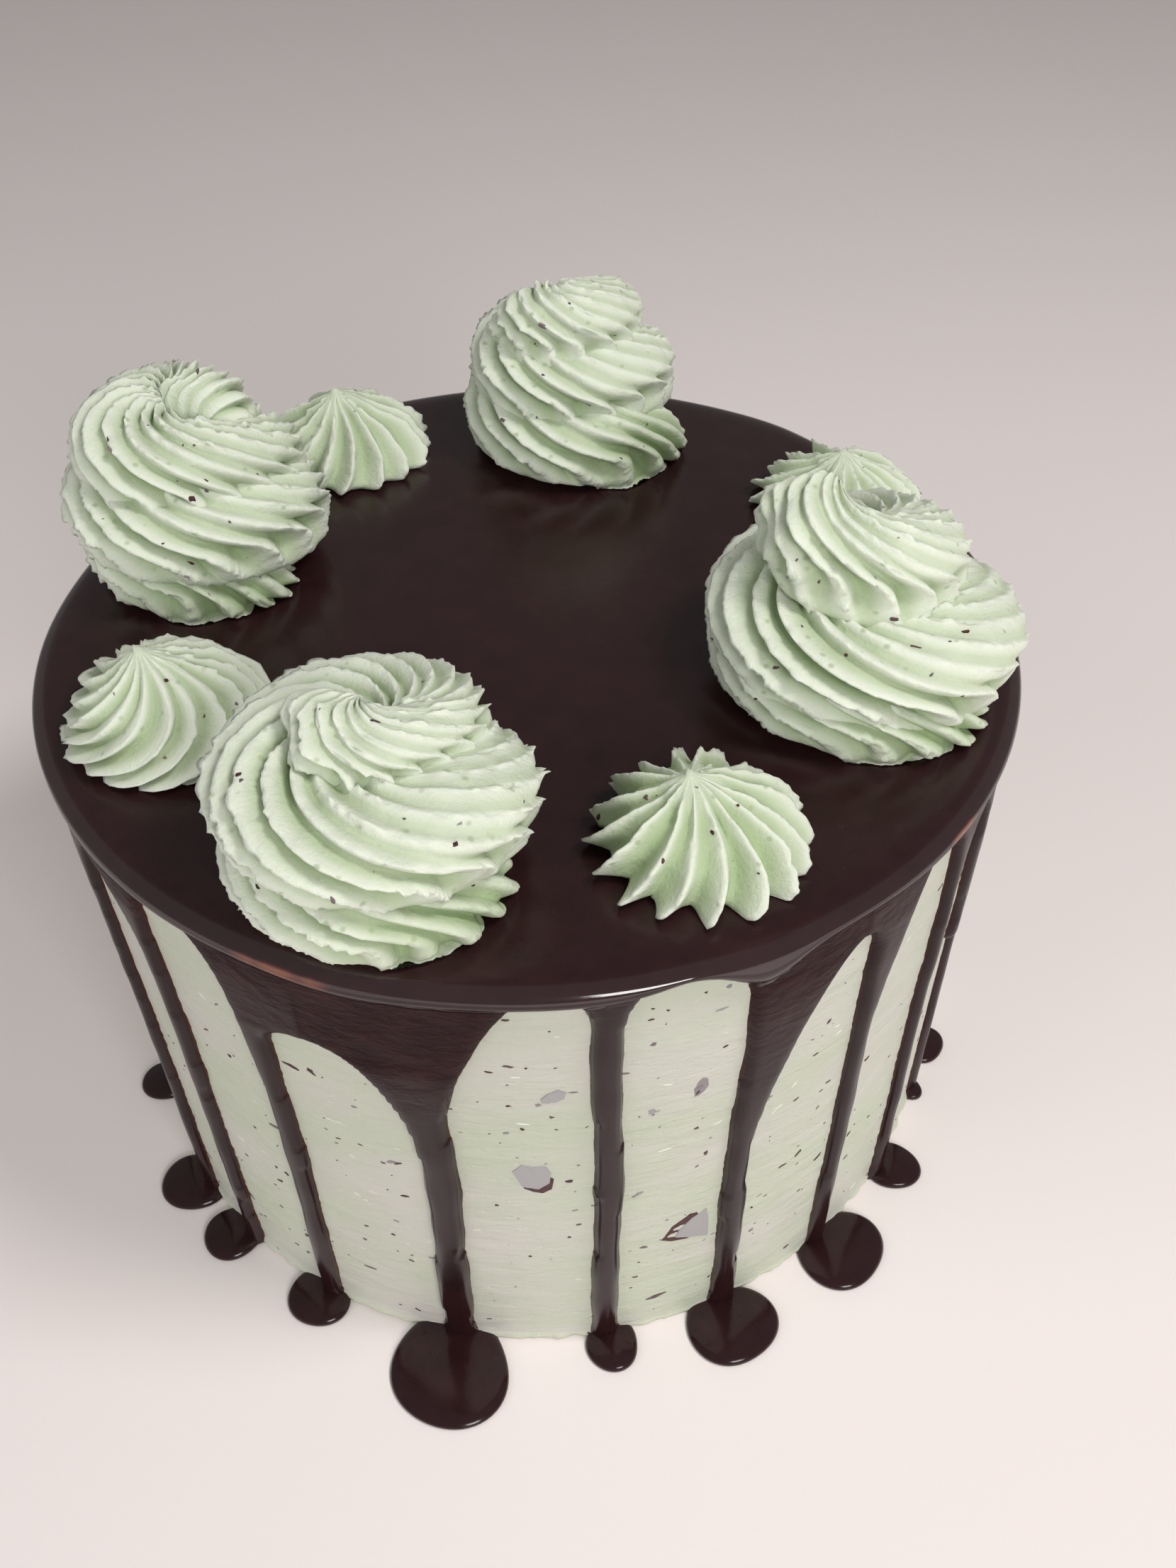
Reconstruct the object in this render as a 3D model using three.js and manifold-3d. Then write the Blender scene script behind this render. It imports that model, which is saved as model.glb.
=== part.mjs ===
// Mint chocolate chip cake: a tall round cake coated in mint buttercream, with a chocolate
// ganache top that runs down the side in drips and pools round the foot, four large piped
// swirls and four small piped stars.
// Millimetres, +Z up. The origin is the middle of the cake's flat underside.
import * as THREE from "three";
import Module from "manifold-3d";

const wasm = await Module();
wasm.setup();

const TURN = Math.PI * 2;
const DEGREE = Math.PI / 180;

// ---- Driving dimensions ----

const FIT_GAP = 0.3; // clearance between two pieces that touch

// The frosted cake: its wall leans out a little towards the top.
const FOOT_RADIUS = 85;
const RIM_RADIUS = 88;
const CAKE_HEIGHT = 107;
const CAKE_EDGE = 3; // rounding of the top edge
const FOOT_LEDGE = 0.9; // ragged frosting that stands out along the foot
const FOOT_LEDGE_HEIGHT = 1.6;
const CAKE_SIDES = 48;

// The ganache cap and its rolled lip.
const TOP_HEIGHT = 110;
const LIP_REACH = 2.6; // how far the lip stands out past the wall
const LIP_DEPTH = 4.6; // from the top down to the lip's lower edge
const LIP_SHOULDER = 7; // where the flat top starts to turn down, measured in from the lip
// The lip's section from its underside up: how far out as a share of its reach, and how far
// below the top as a share of its depth.
const LIP_OUTLINE = [
  [0.5, 1],
  [1, 0.6],
  [0.46, 0.2],
];
const LIP_WAVES = [
  { count: 3, shift: 1, size: 0.5 },
  { count: 7, shift: 0, size: 0.35 },
];
const LIP_SAGS = [
  { azimuth: -67.5, width: 4.5, drop: 5.5 },
  { azimuth: -76, width: 4, drop: -1.6 },
  { azimuth: -112, width: 9, drop: 1.4 },
  { azimuth: 42, width: 6, drop: 4 },
  { azimuth: 150, width: 5, drop: 3.5 },
];

// The drips, in order round the cake. azimuth is where a drip meets the foot and lean how far its
// top lies to one side of that, in degrees; half is its half width. One that reaches the foot
// feeds a pool, whose middle lies reach past the wall at an azimuth of its own. One that stops
// short has its end height. window is the arch of bare frosting between this drip and the next:
// where its top is, how high it reaches, and its two flanks, each with its depth and roundness.
const DRIP_THICKNESS = 1.9;
const WEB_THICKNESS = 1.5; // where neighbouring drips run together
const WEB_SPREAD = 8; // how much wider than its half width a drip has to be to count as web
const SECTION_POWER = [2, 8]; // roundness of the section: a dome for a drip, a flat back for web
const SECTION_SHOULDER = 0.6; // where the section's two shoulders are, as a share of half its width
const THICKEST_SWELL = 1.2;
const DRIP_WANDER = 0.5; // degrees to either side
const WANDER_LENGTH = 13;
const ARCH_LEVELS = [-0.06, 0, 0.08, 0.35, 1]; // cross-sections beside an arch, as shares of its flank
const LEVEL_SPACING = 2.4; // least distance between two cross-sections of a drip
const STREAM_STEP = 22; // most distance between them where a drip only runs down
const EDGE_SINK = 0.6; // how deep a drip's edges reach into the wall before the cut
const ROOT_SINK = 2.2; // the same for its middle
const FOOT_END = [[4, 1.1], [0, 1.3]]; // rise and swell of a drip's last cross-sections
const BEAD_END = [[4.5, 1.35], [1.5, 1.3], [0, 0.5]];
const WEB_OVERLAP = 2.5; // degrees by which neighbouring drips run into each other above an arch
const OVERLAP_RISE = 2; // over this height
const DRIPS = [
  { azimuth: -166, lean: -2, half: 2.2, pool: { azimuth: -167, radius: 5.2, reach: 2.6 },
    window: { azimuth: -158, height: 101, before: [18, 2], after: [12, 2.4] } },
  { azimuth: -146.5, lean: -6, half: 2.2, pool: { azimuth: -148.3, radius: 7, reach: 3.4 },
    window: { azimuth: -149, height: 99, before: [10, 2.4], after: [14, 2.4] } },
  { azimuth: -135.5, lean: -3.5, half: 2.3, pool: { azimuth: -138, radius: 6.3, reach: 3.1 },
    window: { azimuth: -133, height: 104.5, before: [8, 2.4], after: [42, 2.6] } },
  { azimuth: -121.2, lean: -0.8, half: 2.4, pool: { azimuth: -122.3, radius: 6.4, reach: 3 },
    window: { azimuth: -116, height: 88, before: [5, 2.4], after: [36, 2.4] } },
  { azimuth: -102.7, lean: 0, half: 3.2, pool: { azimuth: -102.9, radius: 11.9, reach: 8.2 },
    window: { azimuth: -91.5, height: 106.5, before: [32, 1.3], after: [14, 3] } },
  { azimuth: -83.8, lean: 0.4, half: 2.7, pool: { azimuth: -83.2, radius: 5.4, reach: 3.2 },
    window: { azimuth: -75.5, height: 108.5, before: [20, 3], after: [14, 2.6] } },
  { azimuth: -67.7, lean: 0.6, half: 2.7, pool: { azimuth: -68.1, radius: 8.9, reach: 6.2 },
    window: { azimuth: -54.6, height: 98, before: [40, 1.5], after: [5, 2.4] } },
  { azimuth: -51.8, lean: 1.2, half: 2.3, pool: { azimuth: -50.2, radius: 9, reach: 5.6 },
    window: { azimuth: -42.6, height: 108, before: [34, 1.2], after: [12, 2.4] } },
  { azimuth: -37, lean: 0.4, half: 2.1, pool: { azimuth: -35, radius: 5.9, reach: 3.2 },
    window: { azimuth: -31, height: 100, before: [16, 2], after: [8, 2.4] } },
  { azimuth: -26.5, lean: 0, half: 2.2, end: 60,
    window: { azimuth: -23.4, height: 97, before: [9, 2], after: [10, 2] } },
  { azimuth: -20.8, lean: 1, half: 1.9, pool: { azimuth: -21.3, radius: 2.8, reach: 0.9 },
    window: { azimuth: -16, height: 99, before: [12, 2], after: [16, 2] } },
  { azimuth: -11.8, lean: -1, half: 2.2, pool: { azimuth: -12.6, radius: 5.2, reach: 2.3 },
    window: { azimuth: -1, height: 105, before: [24, 1.6], after: [12, 2.4] } },
  { azimuth: 9, lean: 1.5, half: 2.6, pool: { azimuth: 10, radius: 7.2, reach: 4.8 },
    window: { azimuth: 20, height: 103, before: [14, 2.4], after: [20, 2] } },
  { azimuth: 29, lean: 0, half: 2.3, end: 38,
    window: { azimuth: 38, height: 106, before: [12, 2.4], after: [22, 1.5] } },
  { azimuth: 49, lean: -1, half: 2.8, pool: { azimuth: 48, radius: 9, reach: 6 },
    window: { azimuth: 62, height: 100, before: [34, 1.5], after: [10, 2.4] } },
  { azimuth: 70, lean: -1, half: 2.2, pool: { azimuth: 71, radius: 5, reach: 3 },
    window: { azimuth: 80, height: 105, before: [14, 2.4], after: [14, 2.4] } },
  { azimuth: 89, lean: 0.5, half: 2.5, end: 52,
    window: { azimuth: 98, height: 106.5, before: [20, 2], after: [24, 1.6] } },
  { azimuth: 110, lean: 0, half: 2.8, pool: { azimuth: 110, radius: 8.6, reach: 6 },
    window: { azimuth: 121, height: 101, before: [32, 1.4], after: [10, 2.4] } },
  { azimuth: 129, lean: -0.5, half: 2.3, pool: { azimuth: 128, radius: 5.2, reach: 3.2 },
    window: { azimuth: 138, height: 106, before: [12, 2.4], after: [18, 2] } },
  { azimuth: 150, lean: -1, half: 2.6, pool: { azimuth: 151, radius: 7.6, reach: 5 },
    window: { azimuth: 161, height: 102, before: [28, 1.5], after: [12, 2.4] } },
  { azimuth: 172, lean: 1, half: 2.4, end: 46,
    window: { azimuth: 183, height: 105, before: [16, 2], after: [14, 2.4] } },
];
const POOL_HEIGHT = 2.3; // of a wide pool
const POOL_FLATTENING = [0.6, 0.05]; // share of it that a small pool has, and what each mm of radius adds
const POOL_SIDES = 14;
// A pool's section from the floor up: share of its radius and share of its height.
const POOL_OUTLINE = [
  [0.97, 0],
  [1, 0.4],
  [0.7, 0.95],
];
const POOL_WAVES = [
  { count: 2, size: 0.05 },
  { count: 3, size: 0.03 },
];

// Piping: every swirl and star comes out of one open star tip.
const TIP_TEETH = 16;
const GROOVE_DEPTH = 0.2; // share of a rope's radius
const TURN_STEPS = 15; // cross-sections in one turn of a swirl
const LIFT_START = 0.3; // part of the first turn that lies flat before the rope climbs
const TAPER_TURN = 0.3; // part of the last turn over which the rope thins out
const TAIL_THINNING = 0.45; // share of its width that it loses there
const SETTLE = 0.85; // height of the first turn's middle line, as a share of the rope's half height
const FLOOR_ANGLE = -50; // where the lowest turn's section is cut off by the ganache
const TOP_HOLE = 1; // radius at which the last turn's section ends, inside the coil
const START_SPREAD = 1.06; // how much wider than the rope a swirl starts

// A swirl is a rope laid clockwise in a rising coil. coil is the radius of the rope's middle line
// at the foot and at the top, rope its half width at both, flat its half height over its half
// width, rise the climb of the middle line, narrowing how late the coil draws in, start the azimuth
// at which the tip comes down, lean how far the top stands off the foot, and peak how high the
// tail's tip stands over the last turn.
const SWIRLS = [
  { name: "swirl_front", x: -24, y: -62.5, turns: 2.35, start: -45, coil: [14.4, 3], rope: [13, 9.4],
    flat: 0.76, rise: 21.5, narrowing: 2.2, lean: [0, 1], peak: 1 },
  { name: "swirl_right", x: 59.2, y: -19.6, turns: 2.5, start: -68, coil: [16.3, 3.6], rope: [13, 9.8],
    flat: 0.76, rise: 24, narrowing: 1.3, lean: [-4, 3], peak: 1 },
  { name: "swirl_back", x: 13.5, y: 65, turns: 2.5, start: -30, coil: [12.8, 5], rope: [12.2, 10.2],
    flat: 0.76, rise: 23.5, narrowing: 2, lean: [-2, 1], peak: 2 },
  { name: "swirl_left", x: -60.5, y: 22, turns: 2.7, start: -40, coil: [12.6, 4.5], rope: [12.2, 10.6],
    flat: 0.78, rise: 28, narrowing: 1.8, lean: [-4, 3], peak: -3 },
];

// A star is one squeeze of the same tip, pulled up to a soft peak. twist turns its ridges.
const STARS = [
  { name: "star_front", x: 25.6, y: -61.5, radius: 18.4, height: 15, twist: 14, tilt: [-1, 1] },
  { name: "star_right", x: 63, y: 35.5, radius: 17, height: 14.5, twist: 30, tilt: [1, 1] },
  { name: "star_back", x: -37.5, y: 61, radius: 17.8, height: 16, twist: 26, tilt: [-1, 0] },
  { name: "star_left", x: -62.5, y: -26.5, radius: 17.6, height: 16, twist: 62, tilt: [-3, 0] },
];
// Outline of a star from its foot up: share of the height and share of the radius.
const STAR_OUTLINE = [
  [0, 0.9],
  [0.16, 1],
  [0.42, 0.9],
  [0.66, 0.62],
  [0.86, 0.3],
  [0.97, 0.12],
];
const SWIRL_START_OUTLINE = [
  [0, 0.88],
  [0.2, 1],
  [0.6, 0.85],
  [0.9, 0.45],
];

const MINT = new THREE.MeshStandardMaterial({ color: 0xc4d8bc, roughness: 0.6, metalness: 0 });
const PIPED_MINT = new THREE.MeshStandardMaterial({ color: 0xcfe3c4, roughness: 0.55, metalness: 0 });
const GANACHE = new THREE.MeshStandardMaterial({ color: 0x2a1a18, roughness: 0.25, metalness: 0 });

// ---- Closed shapes from rings of points ----

function pointAt(radius, azimuth, z) {
  return new THREE.Vector3(radius * Math.cos(azimuth), radius * Math.sin(azimuth), z);
}

function signedVolume(positions, triangles) {
  const a = new THREE.Vector3();
  const b = new THREE.Vector3();
  const c = new THREE.Vector3();
  let sum = 0;
  for (let i = 0; i < triangles.length; i += 3) {
    a.fromArray(positions, triangles[i] * 3);
    b.fromArray(positions, triangles[i + 1] * 3);
    c.fromArray(positions, triangles[i + 2] * 3);
    sum += a.dot(b.cross(c)) / 6;
  }
  return sum;
}

// Makes a closed skin from its points and triangles and turns its faces outwards.
function closedSkin(points, triangles) {
  const positions = points.flatMap((p) => [p.x, p.y, p.z]);
  const outwards = signedVolume(positions, triangles) < 0 ? triangles.toReversed() : triangles;
  const geometry = new THREE.BufferGeometry();
  geometry.setAttribute("position", new THREE.Float32BufferAttribute(positions, 3));
  geometry.setIndex(outwards);
  return geometry;
}

// Joins rings of equal length into one closed skin, with a fan over each end.
function loft(rings) {
  const count = rings[0].length;
  const last = rings.length - 1;
  const middleOf = (ring) => ring.reduce((sum, p) => sum.add(p), new THREE.Vector3()).divideScalar(count);
  const points = [...rings.flat(), middleOf(rings[0]), middleOf(rings[last])];
  const firstMiddle = points.length - 2;
  const lastMiddle = points.length - 1;
  const triangles = [];
  for (let i = 0; i < count; i++) {
    const next = (i + 1) % count;
    triangles.push(firstMiddle, next, i);
    triangles.push(lastMiddle, last * count + i, last * count + next);
    for (let row = 0; row < last; row++) {
      const here = row * count;
      const above = here + count;
      triangles.push(here + i, here + next, above + next);
      triangles.push(here + i, above + next, above + i);
    }
  }
  return closedSkin(points, triangles);
}

// A turned shape: outline(azimuth) gives its [radius, z] pairs from the underside to the top.
function turned(sides, outline) {
  const columns = Array.from({ length: sides }, (_, i) => {
    const azimuth = (i / sides) * TURN;
    return outline(azimuth).map(([radius, z]) => pointAt(radius, azimuth, z));
  });
  return loft(columns[0].map((_, row) => columns.map((column) => column[row])));
}

// ---- Joining and cutting ----

function toSolid(geometry) {
  return new wasm.Manifold(
    new wasm.Mesh({
      numProp: 3,
      vertProperties: Float32Array.from(geometry.attributes.position.array),
      triVerts: Uint32Array.from(geometry.index.array),
    }),
  );
}

function joined(geometries) {
  return geometries.map(toSolid).reduce((sum, solid) => sum.add(solid));
}

// The outer skin of a solid: hollows sealed by the joining are filled, loose scraps dropped.
function outerSkin(solid) {
  const { vertProperties, triVerts } = solid.getMesh();
  const parent = Array.from({ length: vertProperties.length / 3 }, (_, i) => i);
  const rootOf = (i) => {
    while (parent[i] !== i) {
      parent[i] = parent[parent[i]];
      i = parent[i];
    }
    return i;
  };
  for (let i = 0; i < triVerts.length; i += 3) {
    parent[rootOf(triVerts[i + 1])] = rootOf(triVerts[i]);
    parent[rootOf(triVerts[i + 2])] = rootOf(triVerts[i]);
  }
  const skins = new Map();
  for (let i = 0; i < triVerts.length; i += 3) {
    const root = rootOf(triVerts[i]);
    if (!skins.has(root)) skins.set(root, []);
    skins.get(root).push(triVerts[i], triVerts[i + 1], triVerts[i + 2]);
  }
  const largest = [...skins.values()].sort((a, b) => b.length - a.length)[0];
  const numbers = new Map();
  const positions = [];
  const triangles = largest.map((vertex) => {
    if (!numbers.has(vertex)) {
      numbers.set(vertex, positions.length / 3);
      positions.push(...vertProperties.subarray(vertex * 3, vertex * 3 + 3));
    }
    return numbers.get(vertex);
  });
  const geometry = new THREE.BufferGeometry();
  geometry.setAttribute("position", new THREE.Float32BufferAttribute(positions, 3));
  geometry.setIndex(triangles);
  return geometry;
}

function piece(name, geometry, material) {
  geometry.computeVertexNormals();
  const mesh = new THREE.Mesh(geometry, material);
  mesh.name = name;
  return mesh;
}

// ---- The frosted cake ----

function wallRadius(z) {
  return THREE.MathUtils.lerp(FOOT_RADIUS, RIM_RADIUS, z / CAKE_HEIGHT);
}

// The cake's outline, grown outwards and upwards by an allowance.
function cakeOutline(allowance) {
  const edgeMiddle = CAKE_HEIGHT - CAKE_EDGE;
  const edge = [0, 45, 90].map((angle) => [
    RIM_RADIUS - CAKE_EDGE + (CAKE_EDGE + allowance) * Math.cos(angle * DEGREE),
    edgeMiddle + (CAKE_EDGE + allowance) * Math.sin(angle * DEGREE),
  ]);
  return [
    [FOOT_RADIUS + FOOT_LEDGE + allowance, -allowance],
    [FOOT_RADIUS + FOOT_LEDGE + allowance, FOOT_LEDGE_HEIGHT / 2],
    [FOOT_RADIUS + allowance, FOOT_LEDGE_HEIGHT + allowance],
    ...edge,
  ];
}

function cakeShape(allowance) {
  return turned(CAKE_SIDES, () => cakeOutline(allowance));
}

// ---- The ganache ----

// How deep the lip is at an azimuth: it waves a little and sags in places.
function lipDepth(azimuth) {
  let depth = LIP_DEPTH;
  for (const wave of LIP_WAVES) {
    depth += wave.size * Math.sin(wave.count * azimuth + wave.shift);
  }
  for (const sag of LIP_SAGS) {
    const turn = azimuth - sag.azimuth * DEGREE;
    const away = Math.atan2(Math.sin(turn), Math.cos(turn)) / (sag.width * DEGREE);
    depth += sag.drop * Math.exp(-(away ** 2));
  }
  return depth;
}

function capShape() {
  return turned(CAKE_SIDES, (azimuth) => {
    const depth = lipDepth(azimuth);
    return [
      [RIM_RADIUS - CAKE_EDGE, TOP_HEIGHT - depth],
      ...LIP_OUTLINE.map(([out, down]) => [RIM_RADIUS + LIP_REACH * out, TOP_HEIGHT - depth * down]),
      [RIM_RADIUS + LIP_REACH - LIP_SHOULDER, TOP_HEIGHT],
    ];
  });
}

// How much of the way a window's flank has gone from the arch's top to the drip's own edge.
function flankShare(share, roundness) {
  const x = THREE.MathUtils.clamp(share, 0, 1);
  return (1 - (1 - x) ** roundness) ** (1 / roundness);
}

function dripMiddle(drip, z) {
  const height = z / TOP_HEIGHT;
  const wander = DRIP_WANDER * Math.sin(z / WANDER_LENGTH + drip.azimuth);
  return (drip.azimuth + drip.lean * height ** 2 + wander * height) * DEGREE;
}

// One edge of a drip at a height: the window beside it spreads from its arch down its flank.
function dripEdge(drip, window, [depth, roundness], side, z) {
  const own = dripMiddle(drip, z) + (side * drip.half) / wallRadius(z);
  const overlap = THREE.MathUtils.clamp((z - window.height) / OVERLAP_RISE, 0, 1) * WEB_OVERLAP;
  const arch = (window.azimuth + side * overlap) * DEGREE;
  return THREE.MathUtils.lerp(arch, own, flankShare((window.height - z) / depth, roundness));
}

// The heights of a drip's cross-sections: close together where a window's arch bends.
function dripLevels(before, after, bottom) {
  const flanks = [[before.height, before.after[0]], [after.height, after.before[0]]];
  const wanted = flanks.flatMap(([height, depth]) => ARCH_LEVELS.map((share) => height - depth * share));
  const kept = [TOP_HEIGHT - LIP_DEPTH / 2];
  for (const level of wanted.sort((a, b) => b - a)) {
    if (kept.at(-1) - level > LEVEL_SPACING && level > bottom + 2 * LEVEL_SPACING) kept.push(level);
  }
  const lowest = kept.at(-1);
  const stretch = lowest - bottom;
  const steps = Math.ceil(stretch / STREAM_STEP);
  for (let i = 1; i < steps; i++) {
    kept.push(lowest - (stretch * i) / steps);
  }
  return kept;
}

// A drip's cross-section: a dome on the wall, flatter the wider it is, that reaches into the wall.
function dripRing(drip, before, after, z, swell) {
  const left = dripEdge(drip, before, before.after, -1, z);
  const right = dripEdge(drip, after, after.before, 1, z);
  const middle = (left + right) / 2;
  const halfAngle = ((right - left) / 2) * swell;
  const spread = THREE.MathUtils.clamp((halfAngle * wallRadius(z) - drip.half) / WEB_SPREAD, 0, 1);
  const power = THREE.MathUtils.lerp(SECTION_POWER[0], SECTION_POWER[1], spread);
  const thickness = THREE.MathUtils.lerp(DRIP_THICKNESS, WEB_THICKNESS, spread);
  const lift = thickness * Math.min(swell, THICKEST_SWELL) * Math.sqrt(1 - SECTION_SHOULDER ** power);
  const wall = wallRadius(z) + FIT_GAP;
  return [
    pointAt(wall - EDGE_SINK, middle - halfAngle, z),
    pointAt(wall + lift, middle - halfAngle * SECTION_SHOULDER, z),
    pointAt(wall + lift, middle + halfAngle * SECTION_SHOULDER, z),
    pointAt(wall - EDGE_SINK, middle + halfAngle, z),
    pointAt(wall - ROOT_SINK, middle, z),
  ];
}

function dripShape(drip, before, after) {
  const bottom = drip.end ?? 0;
  const rings = dripLevels(before, after, bottom).map((z) => dripRing(drip, before, after, z, 1));
  for (const [rise, swell] of drip.end ? BEAD_END : FOOT_END) {
    rings.push(dripRing(drip, before, after, bottom + rise, swell));
  }
  return loft(rings);
}

// A pool is a low dome on the surface that the cake stands on, fed by its drip.
function poolShape(pool) {
  const middle = pointAt(FOOT_RADIUS + pool.reach, pool.azimuth * DEGREE, 0);
  const height = POOL_HEIGHT * Math.min(1, POOL_FLATTENING[0] + POOL_FLATTENING[1] * pool.radius);
  const dome = turned(POOL_SIDES, (around) => {
    let radius = pool.radius;
    for (const wave of POOL_WAVES) {
      radius += pool.radius * wave.size * Math.sin(wave.count * around + pool.azimuth);
    }
    return POOL_OUTLINE.map(([spread, rise]) => [radius * spread, height * rise]);
  });
  return dome.translate(middle.x, middle.y, 0);
}

function ganacheShape() {
  const shapes = [capShape()];
  DRIPS.forEach((drip, i) => {
    const before = { ...DRIPS.at(i - 1).window };
    if (i === 0) before.azimuth -= 360;
    shapes.push(dripShape(drip, before, drip.window));
    if (drip.pool) shapes.push(poolShape(drip.pool));
  });
  return outerSkin(joined(shapes).subtract(toSolid(cakeShape(FIT_GAP))));
}

// ---- Piping ----

// A level ring of points round a middle, with a ridge for each tooth of the tip.
function starRing(middle, radius, turnedBy) {
  const count = TIP_TEETH * 2;
  return Array.from({ length: count }, (_, i) => {
    const size = i % 2 ? 1 - GROOVE_DEPTH : 1;
    return pointAt(radius * size, (i / count) * TURN + turnedBy, 0).add(middle);
  });
}

function starShape(star) {
  const rings = STAR_OUTLINE.map(([rise, spread]) => {
    const [x, y] = star.tilt.map((tilt) => tilt * rise ** 2);
    const middle = new THREE.Vector3(x, y, star.height * rise);
    return starRing(middle, star.radius * spread, star.twist * DEGREE * rise);
  });
  return loft(rings);
}

// The rope of a swirl after a number of turns: where its middle is and how big it is.
function ropeAt(swirl, turns) {
  const share = turns / swirl.turns;
  const climb = THREE.MathUtils.clamp((turns - LIFT_START) / (swirl.turns - LIFT_START), 0, 1);
  const tail = THREE.MathUtils.clamp((turns - swirl.turns + TAPER_TURN) / TAPER_TURN, 0, 1);
  const thinning = 1 - TAIL_THINNING * tail ** 2;
  const halfWidth = THREE.MathUtils.lerp(swirl.rope[0], swirl.rope[1], share) * thinning;
  return {
    azimuth: swirl.start * DEGREE - turns * TURN,
    coil: THREE.MathUtils.lerp(swirl.coil[0], swirl.coil[1], share ** swirl.narrowing),
    height: halfWidth * swirl.flat * SETTLE + swirl.rise * climb,
    halfWidth,
    lean: new THREE.Vector3(swirl.lean[0], swirl.lean[1], 0).multiplyScalar(climb ** 2),
  };
}

// A point of the rope's section at an angle, counted from straight out of the coil up over its top.
function ropePoint(swirl, rope, angle, size) {
  const radius = rope.coil + rope.halfWidth * size * Math.cos(angle);
  const z = rope.height + rope.halfWidth * swirl.flat * size * Math.sin(angle);
  return pointAt(radius, rope.azimuth, Math.max(z, 0)).add(rope.lean);
}

// The angles on two turns of the rope, one over the other, at which their outlines cross.
function creaseAngles(swirl, lower, upper) {
  const size = 1 - GROOVE_DEPTH / 2;
  const across = upper.coil - lower.coil;
  const up = (upper.height - lower.height) / swirl.flat;
  const distance = Math.hypot(across, up);
  const [a, b] = [lower.halfWidth * size, upper.halfWidth * size];
  const along = (a * a - b * b + distance * distance) / (2 * distance);
  const out = Math.sqrt(Math.max(a * a - along * along, 0));
  const x = (along * across + out * up) / distance;
  const y = (along * up - out * across) / distance;
  return { below: Math.atan2(y, x), above: Math.atan2(y - up, x - across), size };
}

// Joins two chains of points whose keys say which ridge or groove each one is on.
function zip(triangles, near, far) {
  let i = 0;
  let j = 0;
  while (i < near.length - 1 || j < far.length - 1) {
    const nearKey = near[i + 1]?.key ?? Infinity;
    const farKey = far[j + 1]?.key ?? Infinity;
    const nearOpen = i < near.length - 1;
    const farOpen = j < far.length - 1;
    if (farOpen && (farKey <= nearKey || !nearOpen)) {
      triangles.push(near[i].index, far[j].index, far[j + 1].index);
      j++;
      if (nearOpen && farKey === nearKey) {
        triangles.push(near[i].index, far[j].index, near[i + 1].index);
        i++;
      }
    } else {
      triangles.push(near[i].index, far[j].index, near[i + 1].index);
      i++;
    }
  }
}

// Where a cross-section shows: from the crease with the turn below it, or the ganache, up to the
// crease with the turn above it, or the inside of the coil.
function shownAngles(swirl, below, rope, above) {
  const low = below ? creaseAngles(swirl, below, rope).above : FLOOR_ANGLE * DEGREE;
  if (above) {
    const crease = creaseAngles(swirl, rope, above);
    return { low, high: crease.below, highSize: crease.size };
  }
  const inside = THREE.MathUtils.clamp((TOP_HOLE - rope.coil) / rope.halfWidth, -1, 0);
  return { low, high: Math.acos(inside), highSize: 1 };
}

// The skin of a coiled rope. The tip never turns as it travels, so each tooth's ridge winds once
// round the rope in every turn of the coil.
function coilShape(swirl) {
  const last = Math.round(swirl.turns * TURN_STEPS);
  const ropes = Array.from({ length: last + 1 }, (_, i) => ropeAt(swirl, i / TURN_STEPS));
  const halfTooth = TURN / (TIP_TEETH * 2);
  const points = [];
  const addPoint = (point) => points.push(point) - 1;
  const foot = addPoint(new THREE.Vector3(0, 0, 0));

  const chains = [];
  ropes.forEach((rope, i) => {
    const below = ropes[i - TURN_STEPS];
    const { low, high, highSize } = shownAngles(swirl, below, rope, ropes[i + TURN_STEPS]);
    const lowest = below
      ? chains[i - TURN_STEPS].at(-1).index
      : addPoint(ropePoint(swirl, rope, low, 1).setZ(0));
    const chain = [{ key: -Infinity, index: lowest }];
    const firstKey = Math.ceil((low + rope.azimuth) / halfTooth + 0.5);
    for (let key = firstKey; key * halfTooth - rope.azimuth < high - halfTooth / 2; key++) {
      const size = key % 2 ? 1 - GROOVE_DEPTH : 1;
      chain.push({ key, index: addPoint(ropePoint(swirl, rope, key * halfTooth - rope.azimuth, size)) });
    }
    chain.push({ key: Infinity, index: addPoint(ropePoint(swirl, rope, high, highSize)) });
    chains.push(chain);
  });
  const top = new THREE.Vector3(0, 0, ropes[last].height + ropes[last].halfWidth * swirl.flat);
  const tip = addPoint(top.add(ropes[last].lean).add(new THREE.Vector3(0, 0, swirl.peak)));

  const triangles = [];
  for (let i = 0; i < last; i++) zip(triangles, chains[i], chains[i + 1]);
  for (let i = 0; i < TURN_STEPS; i++) {
    triangles.push(foot, chains[i + 1][0].index, chains[i][0].index);
  }
  for (let i = 0; i < chains[0].length - 1; i++) {
    triangles.push(foot, chains[0][i].index, chains[0][i + 1].index);
  }
  for (let i = last - TURN_STEPS; i < last; i++) {
    triangles.push(tip, chains[i].at(-1).index, chains[i + 1].at(-1).index);
  }
  for (let i = 0; i < chains[last].length - 1; i++) {
    triangles.push(tip, chains[last][i + 1].index, chains[last][i].index);
  }
  return closedSkin(points, triangles);
}

// A swirl starts as a squashed star where the tip comes down.
function swirlShape(swirl) {
  const first = ropeAt(swirl, 0);
  const foot = pointAt(first.coil, first.azimuth, 0);
  const rings = SWIRL_START_OUTLINE.map(([rise, spread]) => {
    const middle = foot.clone().setZ(first.height * 2 * rise);
    return starRing(middle, swirl.rope[0] * START_SPREAD * spread, 0);
  });
  return outerSkin(joined([coilShape(swirl), loft(rings)]));
}

// ---- The whole cake ----

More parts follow.
